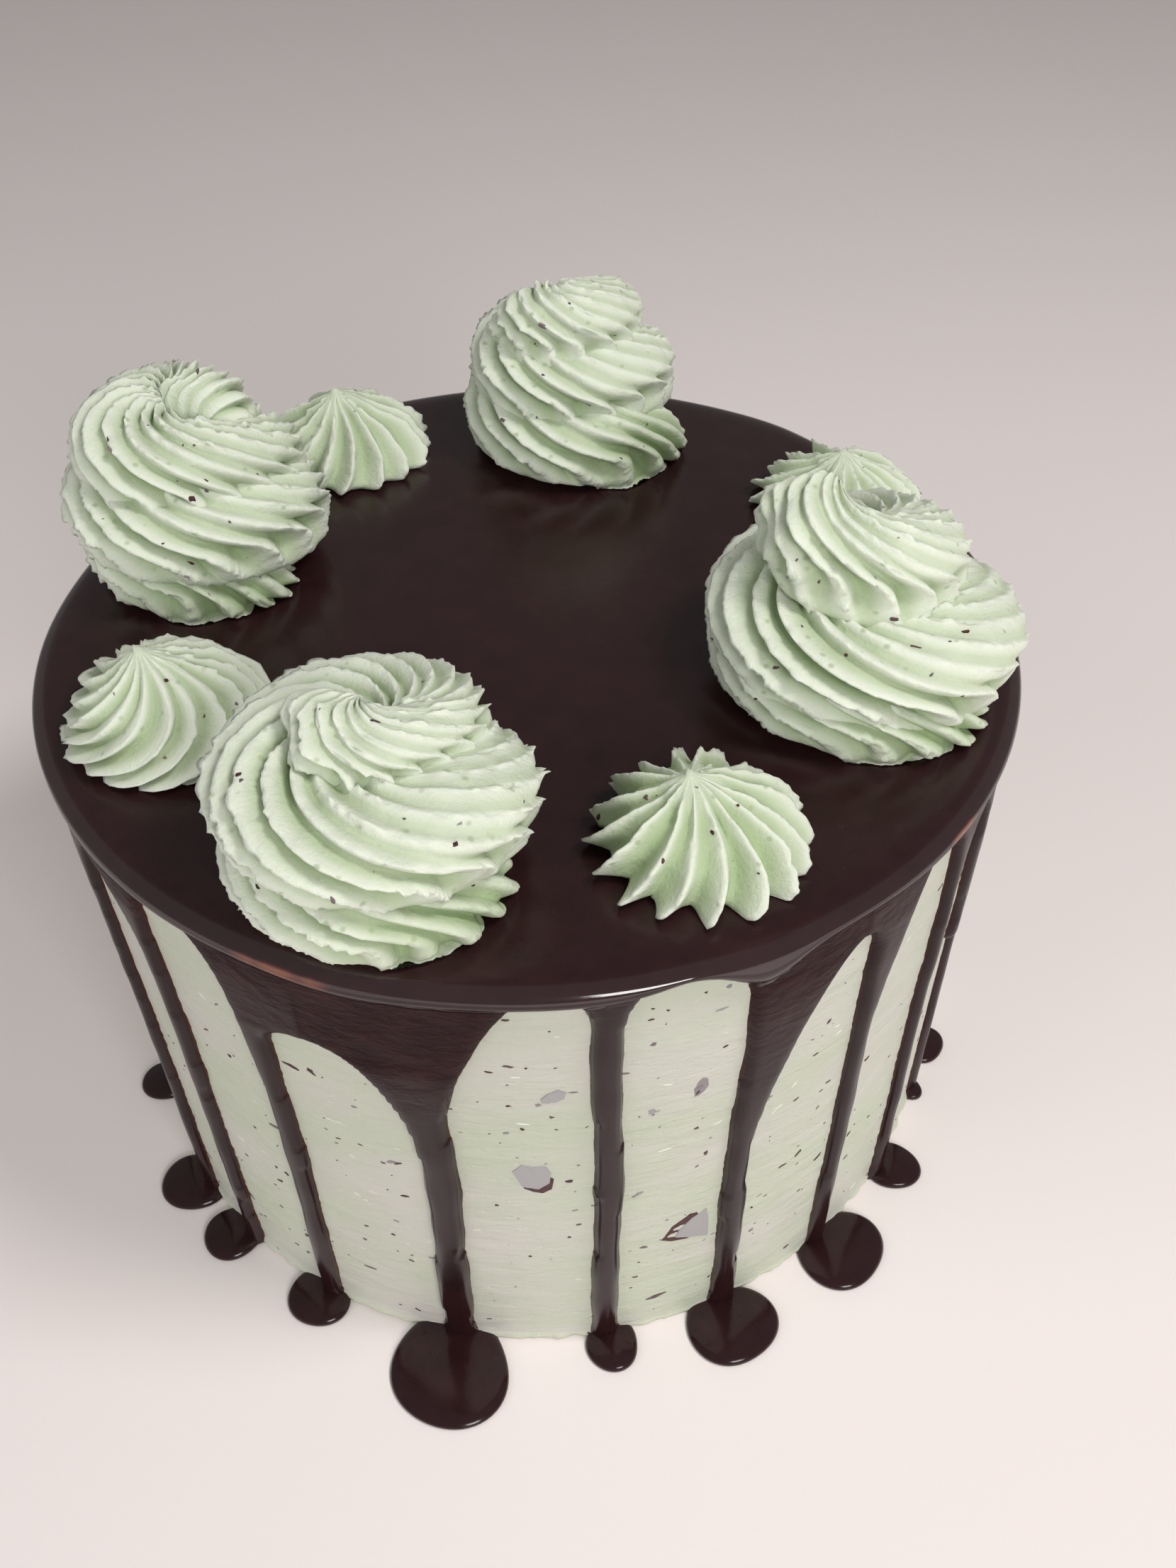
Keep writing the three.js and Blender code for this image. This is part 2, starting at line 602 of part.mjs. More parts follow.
const cake = new THREE.Group();
cake.add(piece("cake_body", cakeShape(0), MINT));
cake.add(piece("ganache", ganacheShape(), GANACHE));

const toppings = new THREE.Group();
toppings.position.z = TOP_HEIGHT + FIT_GAP;
for (const swirl of SWIRLS) {
  const mesh = piece(swirl.name, swirlShape(swirl), PIPED_MINT);
  mesh.position.set(swirl.x, swirl.y, 0);
  toppings.add(mesh);
}
for (const star of STARS) {
  const mesh = piece(star.name, starShape(star), PIPED_MINT);
  mesh.position.set(star.x, star.y, 0);
  toppings.add(mesh);
}
cake.add(toppings);

export default cake;
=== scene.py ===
import math
from collections import namedtuple

import bpy
import numpy as np
from mathutils import Euler, Matrix, Vector, kdtree
from mathutils.bvhtree import BVHTree


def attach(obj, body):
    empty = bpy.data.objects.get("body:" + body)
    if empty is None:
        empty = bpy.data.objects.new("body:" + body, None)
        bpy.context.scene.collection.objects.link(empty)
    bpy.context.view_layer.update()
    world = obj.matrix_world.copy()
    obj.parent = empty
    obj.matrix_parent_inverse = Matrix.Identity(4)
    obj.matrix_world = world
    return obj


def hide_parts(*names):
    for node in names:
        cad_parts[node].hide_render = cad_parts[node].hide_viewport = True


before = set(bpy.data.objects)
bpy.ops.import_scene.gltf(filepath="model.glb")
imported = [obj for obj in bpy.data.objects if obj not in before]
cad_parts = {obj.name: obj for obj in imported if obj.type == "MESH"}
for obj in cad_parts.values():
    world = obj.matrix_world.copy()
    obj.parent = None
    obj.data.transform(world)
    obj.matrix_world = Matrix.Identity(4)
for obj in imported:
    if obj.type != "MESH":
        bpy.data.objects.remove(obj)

MM = 0.001
TO_MM = 1000
TAU = 2 * math.pi
DEGREE = math.pi / 180
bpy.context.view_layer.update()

# ---- Sizes, in millimetres, as the solids have them ----

FOOT_RADIUS = 85
RIM_RADIUS = 88
CAKE_HEIGHT = 107
CAKE_EDGE = 3
CAKE_COLUMNS = 600
TOP_HEIGHT = 110
PIPING_BASE = TOP_HEIGHT + 0.1

LIP_REACH = 2.6
LIP_DEPTH = 4.6
LIP_SHOULDER = 7
LIP_WAIST = 0.6  # how far down the lip stands out most, as a share of its depth
LIP_WAVES = [(3, 1, 0.5), (7, 0, 0.35), (17, 2, 0.12)]  # waves round the cake, shift, size
LIP_SAGS = [(-67.5, 4.5, 5.5), (-76, 4, -1.6), (-112, 9, 1.4), (42, 6, 4), (150, 5, 3.5)]  # azimuth, width, drop
THIN_LIP = np.array([(-116, 5.5), (-40, 3), (60, 6)])  # where the lip is thin and brown: azimuth, width

DRIP_THICKNESS = 1.9
WEB_THICKNESS = 1.5
WEB_SPREAD = 8  # by how much a stream has widened when it is all web
# The foot is a pool (azimuth, radius, reach) or the height at which the drip ends. The window after a drip has
# an azimuth, a height, and how deep and how round its arch is on the drip's side and then on the next one's.
Drip = namedtuple("Drip", "azimuth lean half foot window")
DRIPS = [Drip(*row) for row in [
    (-166, -2, 2.2, (-167, 5.2, 2.6), (-158, 101, 18, 2, 12, 2.4)),
    (-146.5, -6, 2.2, (-148.3, 7, 3.4), (-149, 99, 10, 2.4, 14, 2.4)),
    (-135.5, -3.5, 2.3, (-138, 6.3, 3.1), (-133, 104.5, 8, 2.4, 42, 2.6)),
    (-121.2, -0.8, 2.4, (-122.3, 6.4, 3), (-116, 88, 5, 2.4, 36, 2.4)),
    (-102.7, 0, 3.2, (-102.9, 11.9, 8.2), (-91.5, 106.5, 32, 1.3, 14, 3)),
    (-83.8, 0.4, 2.7, (-83.2, 5.4, 3.2), (-75.5, 108.5, 20, 3, 14, 2.6)),
    (-67.7, 0.6, 2.7, (-68.1, 8.9, 6.2), (-54.6, 98, 40, 1.5, 5, 2.4)),
    (-51.8, 1.2, 2.3, (-50.2, 9, 5.6), (-42.6, 108, 34, 1.2, 12, 2.4)),
    (-37, 0.4, 2.1, (-35, 5.9, 3.2), (-31, 100, 16, 2, 8, 2.4)),
    (-26.5, 0, 2.2, 60, (-23.4, 97, 9, 2, 10, 2)),
    (-20.8, 1, 1.9, (-21.3, 2.8, 0.9), (-16, 99, 12, 2, 16, 2)),
    (-11.8, -1, 2.2, (-12.6, 5.2, 2.3), (-1, 105, 24, 1.6, 12, 2.4)),
    (9, 1.5, 2.6, (10, 7.2, 4.8), (20, 103, 14, 2.4, 20, 2)),
    (29, 0, 2.3, 38, (38, 106, 12, 2.4, 22, 1.5)),
    (49, -1, 2.8, (48, 9, 6), (62, 100, 34, 1.5, 10, 2.4)),
    (70, -1, 2.2, (71, 5, 3), (80, 105, 14, 2.4, 14, 2.4)),
    (89, 0.5, 2.5, 52, (98, 106.5, 20, 2, 24, 1.6)),
    (110, 0, 2.8, (110, 8.6, 6), (121, 101, 32, 1.4, 10, 2.4)),
    (129, -0.5, 2.3, (128, 5.2, 3.2), (138, 106, 12, 2.4, 18, 2)),
    (150, -1, 2.6, (151, 7.6, 5), (161, 102, 28, 1.5, 12, 2.4)),
    (172, 1, 2.4, 46, (183, 105, 16, 2, 14, 2.4)),
]]
SHEET_COLUMNS = 592
SHEET_TOP = 106.9
LIP_ROWS_AT = 84  # above this height the rows of the sheet follow the waist of the lip
EDGE_SINK = 0.25  # how far the edge of the ganache lies under the frosting
INNER_SINK = 0.55  # how far its inside does
SNAP_REACH = 0.45  # how close to the edge the points are that move onto it
RIM_ANGLES = np.array([8, 17, 27, 38, 50, 62, 74, 84, 90]) * DEGREE
GLOSSY_RIM_ROWS = 5

POOL_HEIGHT = 2.3
POOL_FIT = 0.985  # keeps the waves of a pool's edge inside the round pool of the solid
POOL_COLUMNS = 64
# a pool's rows from the underside over the edge to the middle: share of the radius, share of the height
POOL_PROFILE = [(0.9, 0), (0.985, 0)]
POOL_PROFILE += [(1 - 0.22 * (1 - math.cos(a)), 0.62 * math.sin(a)) for a in np.array([12, 30, 48, 64, 76]) * DEGREE]
POOL_PROFILE += [(r, 0.62 + 0.38 * (1 - (r / 0.78) ** 2)) for r in (0.68, 0.55, 0.4, 0.25, 0.12)]

TIP_TEETH = 16
TOOTH_SHARES = np.array([-0.5, -0.4, -0.3, -0.2, -0.1, -0.035, 0.035, 0.12, 0.22, 0.36])
SETTLE = 0.85  # how high the rope's middle lies when it rests, as a share of its half height
ROPE_GROOVE = 0.4
Swirl = namedtuple("Swirl", "name x y start flat smooth rough_end tail tip lean peak path")
# start: azimuth of the rope's start. flat: height over width. smooth, rough_end: how far the ridges fade on top
# at the side, and how far they come back in the last turn. tail, tip: the turns in which the rope narrows, and
# to what share. lean: how far the top stands off. peak: from the rope's end to its last point.
# path: turns done, coil radius, lift of the rope's middle, half width.
SWIRLS = [
    Swirl("swirl_front", -24, -62.5, -32, 0.6, 1, 0, 0.12, 0.2, (-1, 4), (-5, 1, 2.5),
          [(0, 13, 0, 12.5), (0.7, 12.6, 1, 12.5), (0.97, 13.4, 10.2, 12.5), (1.75, 12.8, 12, 12.2),
           (1.96, 4.6, 20.5, 9), (2.55, 3.6, 22.5, 7.6)]),
    Swirl("swirl_right", 59.2, -19.6, -52, 0.66, 1, 0.3, 0.14, 0.25, (-9, 6), (1, 1, 1),
          [(0, 17, 0, 11.5), (0.5, 15.2, 0.3, 12.5), (0.9, 15, 3.6, 12.8), (1.15, 15, 5.8, 12.8),
           (1.5, 14, 7, 12.6), (1.8, 9, 15, 12.6), (2, 7, 18.5, 12.6), (2.22, 3.6, 24, 11.5),
           (2.46, 1.6, 29, 7)]),
    Swirl("swirl_back", 13.5, 65, -20, 0.72, 1.35, 0, 0.25, 0.15, (-6, 1), (-6, 0, 3),
          [(0, 13, 0, 12.4), (0.7, 13, 1.2, 12.4), (0.97, 8.8, 10.5, 12), (1.7, 9.2, 13, 11.8),
           (1.95, 6, 21.5, 11.2), (2.5, 4.2, 23.8, 10)]),
    Swirl("swirl_left", -60.5, 22, -50, 0.74, 0.75, 0.9, 0.12, 0.3, (-5, 2), (1, 1, 0.5),
          [(0, 11.6, 0, 11.5), (0.7, 12, 1, 12), (0.97, 12.4, 8.2, 12.2), (1.75, 11.6, 10.5, 12),
           (2, 8.4, 17.5, 12), (2.9, 4.8, 23.5, 11)]),
]
ROW_STEP = 0.72  # between sections along the outside of a rope
CURL_TURN = 0.13  # part of a turn in which the rope's start tips over into its path
BUNCHING = 0.3  # how much wider the teeth are spread on the outside of a rope than on the inside
BUNCH_MIDDLE = -5 * DEGREE
DRAG = 0.22  # how much the ridges crowd together on the side where the piping came towards the camera
DRAG_AZIMUTH = 35 * DEGREE
RIDGE_LEAN = 0.1  # how far a ridge leans over the valley on its steep side, in radians of the section
SMOOTH_AZIMUTH = -22 * DEGREE  # the side where the ridges fade on top
SMOOTH_WIDTH = 1.35
CURL_BACK = 8.5  # how far the foot of a ridge curls back under it
CURL_TOP = 4 * DEGREE
CURL_FOOT = -52 * DEGREE

Star = namedtuple("Star", "name x y radius height twist sweep turn tilt groove skew scoop")
# turn: of the whole star. twist: of its lobes on the way up. sweep: how far their feet are dragged round.
# tilt: how far the top stands off. skew, scoop: see tooth_shape.
STARS = [
    Star("star_front", 25.6, -61.5, 18.8, 14.4, 14, 10, 6, (-1.8, 1.2), 0.27, -0.15, 1),
    Star("star_right", 63, 34.8, 17.4, 12, 25, 10, 0, (1, 1), 0.25, 0.2, 0.8),
    Star("star_back", -37.5, 61, 18.2, 15, 16, 5, 4, (-1, 0), 0.24, 0.2, 0.8),
    Star("star_left", -62.5, -26.5, 18.4, 15.6, 14, 72, 0, (-2.8, 0.8), 0.26, -0.85, 0.3),
]
STAR_RINGS = 40
# share of the height, share of the radius
STAR_OUTLINE = [(0, 0.92), (0.06, 1), (0.14, 1.02), (0.28, 0.96), (0.42, 0.86), (0.55, 0.72), (0.66, 0.56),
                (0.77, 0.38), (0.86, 0.24), (0.93, 0.13), (0.98, 0.06)]

PIPED_FLECKS = 16  # on a swirl, and half as many on a star
WALL_FLECKS = 950
PALE_SHARE = 0.07  # of the ones in the wall: raised strokes of the frosting itself
PALE_VEIL = 2
CRUMB_CORNERS = 8
CRUMB_POINTS = 2 * CRUMB_CORNERS + 2
CRUMB_SINK = 0.25

# ---- Camera, light and floor, in metres ----

PICTURE_WIDTH, PICTURE_HEIGHT = 1659, 2212
CAMERA_AT = Vector((0, -0.23552, 0.28499))
CAMERA_YAW = 0.0455
CAMERA_PITCH = 0.7456
CAMERA_ROLL = -0.0091
CAMERA_TURN = Euler((math.pi / 2 - CAMERA_PITCH, 0, -CAMERA_YAW)).to_matrix() @ Matrix.Rotation(CAMERA_ROLL, 3, "Z")
CAMERA_FOCUS = 2200 / PICTURE_HEIGHT  # focal length over the long side of the picture
SENSOR = 36
WORLD_COLOR = (0.93, 0.9, 0.88, 1)
WORLD_STRENGTH = 0.27
LIGHT_TARGET = Vector((0, 0, 0.06))
# place, width, height of a rectangle or None for a disk, watts, colour, whether the glaze mirrors it
LIGHTS = {
    "key": ((0.42, -0.2, 0.85), 0.26, None, 4, (1, 0.97, 0.96), False),
    "front": ((0.45, -0.95, 0.7), 0.8, None, 1.5, (1, 0.98, 0.97), False),
    "low": ((0.3, -0.88, 0.52), 0.34, 0.3, 3.9, (1, 0.98, 0.97), True),
    "fill": ((-0.8, -0.45, 0.6), 0.8, None, 2.8, (0.98, 0.98, 1), False),
}
FLOOR_HALF = 3
FLOOR_DROP = 0.0002  # keeps the floor just clear of the underside


def add_object(name, data):
    made = bpy.data.objects.new(name, data)
    bpy.context.scene.collection.objects.link(made)
    return made


def add_camera():
    data = bpy.data.cameras.new("camera")
    data.sensor_width = SENSOR
    data.lens = SENSOR * CAMERA_FOCUS
    data.clip_start = 0.01
    camera = add_object("camera", data)
    camera.matrix_world = Matrix.Translation(CAMERA_AT) @ CAMERA_TURN.to_4x4()
    bpy.context.scene.camera = camera


def add_light(name, at, width, height, power, color, mirrored):
    data = bpy.data.lights.new(name, "AREA")
    data.shape = "RECTANGLE" if height else "DISK"
    data.size = width
    if height:
        data.size_y = height
    data.energy = power
    data.color = color
    light = add_object(name, data)
    light.location = at
    light.visible_glossy = mirrored
    light.rotation_mode = "QUATERNION"
    light.rotation_quaternion = (LIGHT_TARGET - light.location).to_track_quat("-Z", "Y")


def add_studio():
    world = bpy.data.worlds.new("studio")
    world.use_nodes = True
    background = world.node_tree.nodes["Background"]
    background.inputs["Color"].default_value = WORLD_COLOR
    background.inputs["Strength"].default_value = WORLD_STRENGTH
    bpy.context.scene.world = world
    for name, light in LIGHTS.items():
        add_light(name, *light)
    bpy.context.scene.view_settings.view_transform = "Standard"


# ---- Numbers ----

def noise(points, size, seed):
    """Smooth noise from -1 to 1 at points (..., 3), with features of that size."""
    p = np.asarray(points, float) / size
    cell = np.floor(p).astype(np.int64)
    f = p - cell
    f = f * f * (3 - 2 * f)
    total = np.zeros(p.shape[:-1])
    for corner in range(8):
        step = np.array([corner & 1, (corner >> 1) & 1, corner >> 2])
        x, y, z = np.moveaxis(cell + step, -1, 0)
        h = (x * 73856093) ^ (y * 19349663) ^ (z * 83492791) ^ (seed * 40503)
        h = (h ^ (h >> 13)) * 1274126177 & 0xFFFFFFFF
        h = (h ^ (h >> 16)) & 0xFFFF
        weight = np.prod(np.where(step, f, 1 - f), axis=-1)
        total += weight * (h / 32767.5 - 1)
    return total


def ease(low, high, x):
    t = np.clip((x - low) / (high - low), 0, 1)
    return t * t * (3 - 2 * t)


def lerp(a, b, t):
    return a + (b - a) * t


def smooth_max(a, b, softness):
    return 0.5 * (a + b + np.sqrt((a - b) ** 2 + softness ** 2))


def smoothed(values, passes):
    for _ in range(passes):
        values = np.hstack([values[:1], (values[:-2] + 2 * values[1:-1] + values[2:]) / 4, values[-1:]])
    return values


def turn_from(angle, middle):
    """The angle away from a middle one, from -pi to pi."""
    return np.arctan2(np.sin(angle - middle), np.cos(angle - middle))


def around(radius, azimuth, z):
    """Points at those cylindrical coordinates, as an array (..., 3)."""
    radius, azimuth, z = np.broadcast_arrays(radius, azimuth, z)
    return np.stack([radius * np.cos(azimuth), radius * np.sin(azimuth), z], -1)


# ---- Meshes ----

def add_piece(name, points, quads, triangles, material, slot, node=None, flat=False, **attributes):
    """Adds a piece of the cake from points in millimetres, with values at them for its material."""
    mesh = bpy.data.meshes.new(name)
    mesh.from_pydata(points * MM, [], [*quads.tolist(), *triangles.tolist()], shade_flat=flat)
    mesh.validate()
    mesh.materials.append(material)
    for key, values in attributes.items():
        mesh.attributes.new(key, "FLOAT", "POINT").data.foreach_set("value", values.astype(np.float32))
    piece = add_object(name, mesh)
    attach(piece, "root")
    if node:
        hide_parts(node)
    return piece


def grid_quads(rows, columns, first=0):
    """Quads between rows of points, where the last column meets the first."""
    row, column = np.meshgrid(np.arange(rows - 1), np.arange(columns), indexing="ij")
    here = first + row * columns + column
    there = first + row * columns + (column + 1) % columns
    return np.stack([here, there, there + columns, here + columns], -1).reshape(-1, 4)


def fan(ring, middle, flip=False):
    """Triangles from a ring of point numbers to a middle point."""
    ring = np.asarray(ring)
    after = np.roll(ring, -1)
    pair = (after, ring) if flip else (ring, after)
    return np.stack([*pair, np.full(len(ring), middle)], -1)


def loft(rows, start, end, first=0):
    """A closed skin over rows of points and a middle point at each end: its points, quads and triangles."""
    rows = np.asarray(rows)
    count, columns = rows.shape[:2]
    ring = first + np.arange(columns)
    middle = first + count * columns
    points = np.vstack([rows.reshape(-1, 3), start, end])
    ends = np.vstack([fan(ring, middle, flip=True), fan(ring + (count - 1) * columns, middle + 1)])
    return points, grid_quads(count, columns, first), ends


# ---- The frosted cake ----

def wall_radius(z):
    return FOOT_RADIUS + (RIM_RADIUS - FOOT_RADIUS) * z / CAKE_HEIGHT


def wall_swell(azimuth, z):
    """How far the smoothed frosting stands out or in, in broad flat strokes."""
    return 0.22 * noise(around(RIM_RADIUS / 60, azimuth, z / 26), 1, 11)


def cake_piece(material):
    azimuth = np.arange(CAKE_COLUMNS) / CAKE_COLUMNS * TAU
    spots = around(40, azimuth, 0)
    ragged = 0.35 + 0.35 * noise(spots, 1.6, 5) + 0.25 * noise(spots, 0.5, 6)
    # The underside, and the ragged foot where the scraper lifted off the board.
    foot = [(60, 0), (84.4, 0), (85 + ragged, 0.15), (85.1 + ragged, 0.7), (85.05 + 0.4 * ragged, 1.3 + 0.3 * ragged)]
    rows = [around(r, azimuth, z) for r, z in foot]
    shoulder = CAKE_HEIGHT - CAKE_EDGE
    for z in np.hstack([np.arange(2.2, shoulder, 1), [shoulder]]):
        r = wall_radius(z) + wall_swell(azimuth, z)
        spots = around(r, azimuth, z)
        fine = 0.11 * noise(spots * (0.3, 0.3, 2.2), 1.8, 21) + 0.06 * noise(spots, 1.2, 22)
        rows.append(around(r + fine, azimuth, z))
    for angle in np.array([20, 45, 70, 90]) * DEGREE:
        r = RIM_RADIUS - CAKE_EDGE + CAKE_EDGE * math.cos(angle)
        rows.append(around(r, azimuth, shoulder + CAKE_EDGE * math.sin(angle)))
    rows.append(around(50, azimuth, CAKE_HEIGHT))
    skin = loft(rows, (0, 0, 0), (0, 0, CAKE_HEIGHT))
    return add_piece("mint_coat", *skin, material, "mint_buttercream", "cake_body")


# ---- The ganache ----

def lip_depth(azimuth):
    depth = np.full(np.shape(azimuth), LIP_DEPTH)
    for count, shift, size in LIP_WAVES:
        depth = depth + size * np.sin(count * azimuth + shift)
    for middle, width, drop in LIP_SAGS:
        depth = depth + drop * np.exp(-((turn_from(azimuth, middle * DEGREE) / (width * DEGREE)) ** 2))
    return depth


def lip_edge(azimuth):
    return TOP_HEIGHT - lip_depth(azimuth)


def flank_share(share, roundness):
    x = np.clip(share, 0, 1)
    return (1 - (1 - x) ** roundness) ** (1 / roundness)


def has_pool(drip):
    return isinstance(drip.foot, tuple)


def drip_end(drip):
    return 0 if has_pool(drip) else drip.foot


def drip_middle(drip, z):
    height = z / TOP_HEIGHT
    wander = 0.5 * np.sin(z / 13 + drip.azimuth)
    return (drip.azimuth + drip.lean * height ** 2 + wander * height) * DEGREE


def drip_half(drip, z):
    """Half width of a drip's own stream, with its swelling at the foot or its bead at the end."""
    wobble = 1 + 0.05 * np.sin(z / 5.3 + drip.azimuth) + 0.04 * np.sin(z / 2.1 + 2 * drip.azimuth)
    if has_pool(drip):
        return drip.half * wobble * (1 + 0.3 * np.exp(-z / 2.5))
    rise = np.clip(z - drip.foot, 0, None)
    bead = 1 + 0.35 * np.exp(-(((rise - 3) / 3.5) ** 2))
    closing = np.sqrt(np.clip(1 - (1 - np.clip(rise / 2.6, 0, 1)) ** 2, 0, 1))
    return drip.half * wobble * bead * closing


def drip_edges(index, z):
    """Azimuths of a drip's edges at heights z. Above a window's arch they meet the next drip's."""
    drip = DRIPS[index]
    before_azimuth, before_top, _, _, before_depth, before_round = DRIPS[index - 1].window
    after_azimuth, after_top, after_depth, after_round, _, _ = drip.window
    if index == 0:
        before_azimuth -= 360
    middle, half = drip_middle(drip, z), drip_half(drip, z) / wall_radius(z)
    left = lerp(before_azimuth * DEGREE, middle - half, flank_share((before_top - z) / before_depth, before_round))
    right = lerp(after_azimuth * DEGREE, middle + half, flank_share((after_top - z) / after_depth, after_round))
    return left, right


def edge_tree():
    """A search tree of points close together on every edge between ganache and frosting."""
    found = []
    for index, drip in enumerate(DRIPS):
        end = drip_end(drip)
        for side, window in enumerate((DRIPS[index - 1].window, drip.window)):
            top = window[1]
            z = np.hstack([
                np.arange(end, min(top, 107.5), 0.12),
                top - np.geomspace(0.0005, 3, 240),
                end + np.geomspace(0.002, 3, 60),
            ])
            z = z[(z >= end) & (z <= top)]
            found.append(around(RIM_RADIUS, drip_edges(index, z)[side], z))
    found = np.vstack(found)
    tree = kdtree.KDTree(len(found))
    for i, point in enumerate(found):
        tree.insert(point, i)
    tree.balance()
    return tree


def stream_fields(azimuth, z):
    """For points of the unrolled wall: how deep in a stream they are, only good for its sign, where across
    it, how far it has widened to a web, and which stream it is."""
    best = np.full(azimuth.shape, -1e9)
    across, web, which = np.zeros((3, *azimuth.shape))
    for index, drip in enumerate(DRIPS):
        left, right = drip_edges(index, z)
        half = (right - left) / 2
        turn = turn_from(azimuth, (left + right) / 2)
        depth = (half - np.abs(turn)) * wall_radius(z)
        depth = np.where(z < drip_end(drip), -1e6, depth)
        better = depth > best
        best = np.where(better, depth, best)
        across = np.where(better, turn / np.maximum(half, 1e-4), across)
        web = np.where(better, np.clip((half * wall_radius(z) - drip.half) / WEB_SPREAD, 0, 1), web)
        which = np.where(better, index, which)
    return best, across, web, which


def inside_at(tree, azimuth, z):
    """How deep points are inside the ganache and inside its streams, in mm, then their stream_fields."""
    best, *fields = stream_fields(azimuth, z)
    spots = around(RIM_RADIUS, azimuth, z).reshape(-1, 3)
    distance = np.array([tree.find(p)[2] for p in spots]).reshape(azimuth.shape)
    depth = np.where(best > 0, distance, -distance)
    return np.maximum(depth, z - lip_edge(azimuth)), depth, *fields


def sheet():
    """The unrolled wall as a grid of azimuths and heights, with what inside_at says of them. Points near the
    edge of the ganache are moved onto it."""
    low_rows, lip_rows = np.arange(0, LIP_ROWS_AT, 0.95), np.arange(LIP_ROWS_AT, SHEET_TOP, 0.72)
    heights = np.hstack([low_rows, lip_rows, [SHEET_TOP]])
    azimuth, z = np.meshgrid(np.arange(SHEET_COLUMNS) / SHEET_COLUMNS * TAU - math.pi, heights, indexing="xy")
    rim = TOP_HEIGHT - LIP_WAIST * lip_depth(azimuth)
    to_waist = (rim - LIP_ROWS_AT) / (SHEET_TOP - LIP_ROWS_AT)
    z = np.where(z > LIP_ROWS_AT, LIP_ROWS_AT + (z - LIP_ROWS_AT) * to_waist, z)
    tree = edge_tree()
    inside, depth, *fields = inside_at(tree, azimuth, z)
    below_lip = z - lip_edge(azimuth)

    near = np.abs(inside) < SNAP_REACH
    step = 0.05
    a, h, value = azimuth[near], z[near], inside[near]
    turn = step / RIM_RADIUS
    slope_a = (inside_at(tree, a + turn, h)[0] - inside_at(tree, a - turn, h)[0]) / (2 * step)
    slope_h = (inside_at(tree, a, h + step)[0] - inside_at(tree, a, h - step)[0]) / (2 * step)
    steep = np.maximum(slope_a ** 2 + slope_h ** 2, 0.3)
    fixed = (h < 0.5) | (h > rim[near] - 0.3)
    azimuth[near] -= value * slope_a / steep / RIM_RADIUS
    z[near] = np.where(fixed, h, h - value * slope_h / steep)
    inside[near] = 0
    depth[near] = np.where(depth[near] > below_lip[near], 0, depth[near])
    return azimuth, z, rim, inside, depth, *fields


def stream_height(depth, across, web, which, azimuth, z):
    """How far the ganache stands out from the wall at a depth inside its edge."""
    inside = np.clip(depth / 2.4, 0, 1)
    rise = lerp(DRIP_THICKNESS, WEB_THICKNESS, web) * np.sqrt(1 - (1 - inside) ** 2)
    flow = np.stack([across * 9 + which * 17, z / 30, which * 3.7], -1)
    streak = noise(flow, 1, 31) + 0.6 * noise(flow * (2.3, 1.4, 1), 1, 32)
    lumps = noise(around(RIM_RADIUS, azimuth, z), 7, 33)
    return rise + inside * (0.09 * streak * web + 0.14 * lumps)


def clip_grid(points, values, quads):
    """Where values are above 0: whole quads, triangles of cut ones, and the new points on the cuts."""
    some = (values[quads] > 0).any(axis=1)
    whole = (values[quads] >= 0).all(axis=1) & some
    numbers, added, triangles = {}, [], []

    def cut(i, j):
        key = (min(i, j), max(i, j))
        if key not in numbers:
            p = lerp(points[i], points[j], values[i] / (values[i] - values[j]))
            r, edge = math.hypot(p[0], p[1]), wall_radius(p[2]) - EDGE_SINK
            numbers[key] = len(points) + len(added)
            added.append((p[0] * edge / r, p[1] * edge / r, p[2]))
        return numbers[key]

    for quad in quads[some & ~whole]:
        polygon = []
        for i, j in zip(quad.tolist(), np.roll(quad, -1).tolist()):
            if values[i] >= 0:
                polygon.append(i)
            if values[i] * values[j] < 0:
                polygon.append(cut(i, j))
        triangles += [(polygon[0], polygon[k], polygon[k + 1]) for k in range(1, len(polygon) - 1)]
    return quads[whole], np.array(triangles).reshape(-1, 3), np.array(added).reshape(-1, 3)


def rim_rows(azimuth, outer):
    """Rings over the rim and across the top, from the last row of the sheet inwards."""
    reach, waist = np.linalg.norm(outer[:, :2], axis=1), outer[:, 2]
    shoulder = RIM_RADIUS + LIP_REACH - LIP_SHOULDER
    rows = []
    for angle in RIM_ANGLES:
        r = shoulder + (reach - shoulder) * math.cos(angle) ** 0.8
        rows.append(around(r, azimuth, waist + (TOP_HEIGHT - 0.1 - waist) * math.sin(angle) ** 0.9))
    for r in np.hstack([np.arange(81.5, 30, -2.2), [24, 14, 6]]):
        ring = around(r, azimuth, TOP_HEIGHT)
        ring[:, 2] += -0.1 + 0.1 * noise(ring, 24, 41) * min(1, (shoulder - r) / 10)
        rows.append(ring)
    return np.array(rows)


def pool(drip, first):
    """The pool at a drip's foot, its points numbered from the first."""
    azimuth, radius, reach = drip.foot
    radius = radius * POOL_FIT
    centre = around(FOOT_RADIUS + reach, azimuth * DEGREE, 0)
    height = POOL_HEIGHT * min(1, 0.6 + radius / 20)
    turns = np.arange(POOL_COLUMNS) / POOL_COLUMNS * TAU
    waves = 1 + 0.05 * np.sin(2 * turns + azimuth) + 0.03 * np.sin(3 * turns + azimuth)
    rows = [around(radius * waves * share, turns, height * rise) + centre for share, rise in POOL_PROFILE]
    return loft(rows, centre, centre + (0, 0, height), first)


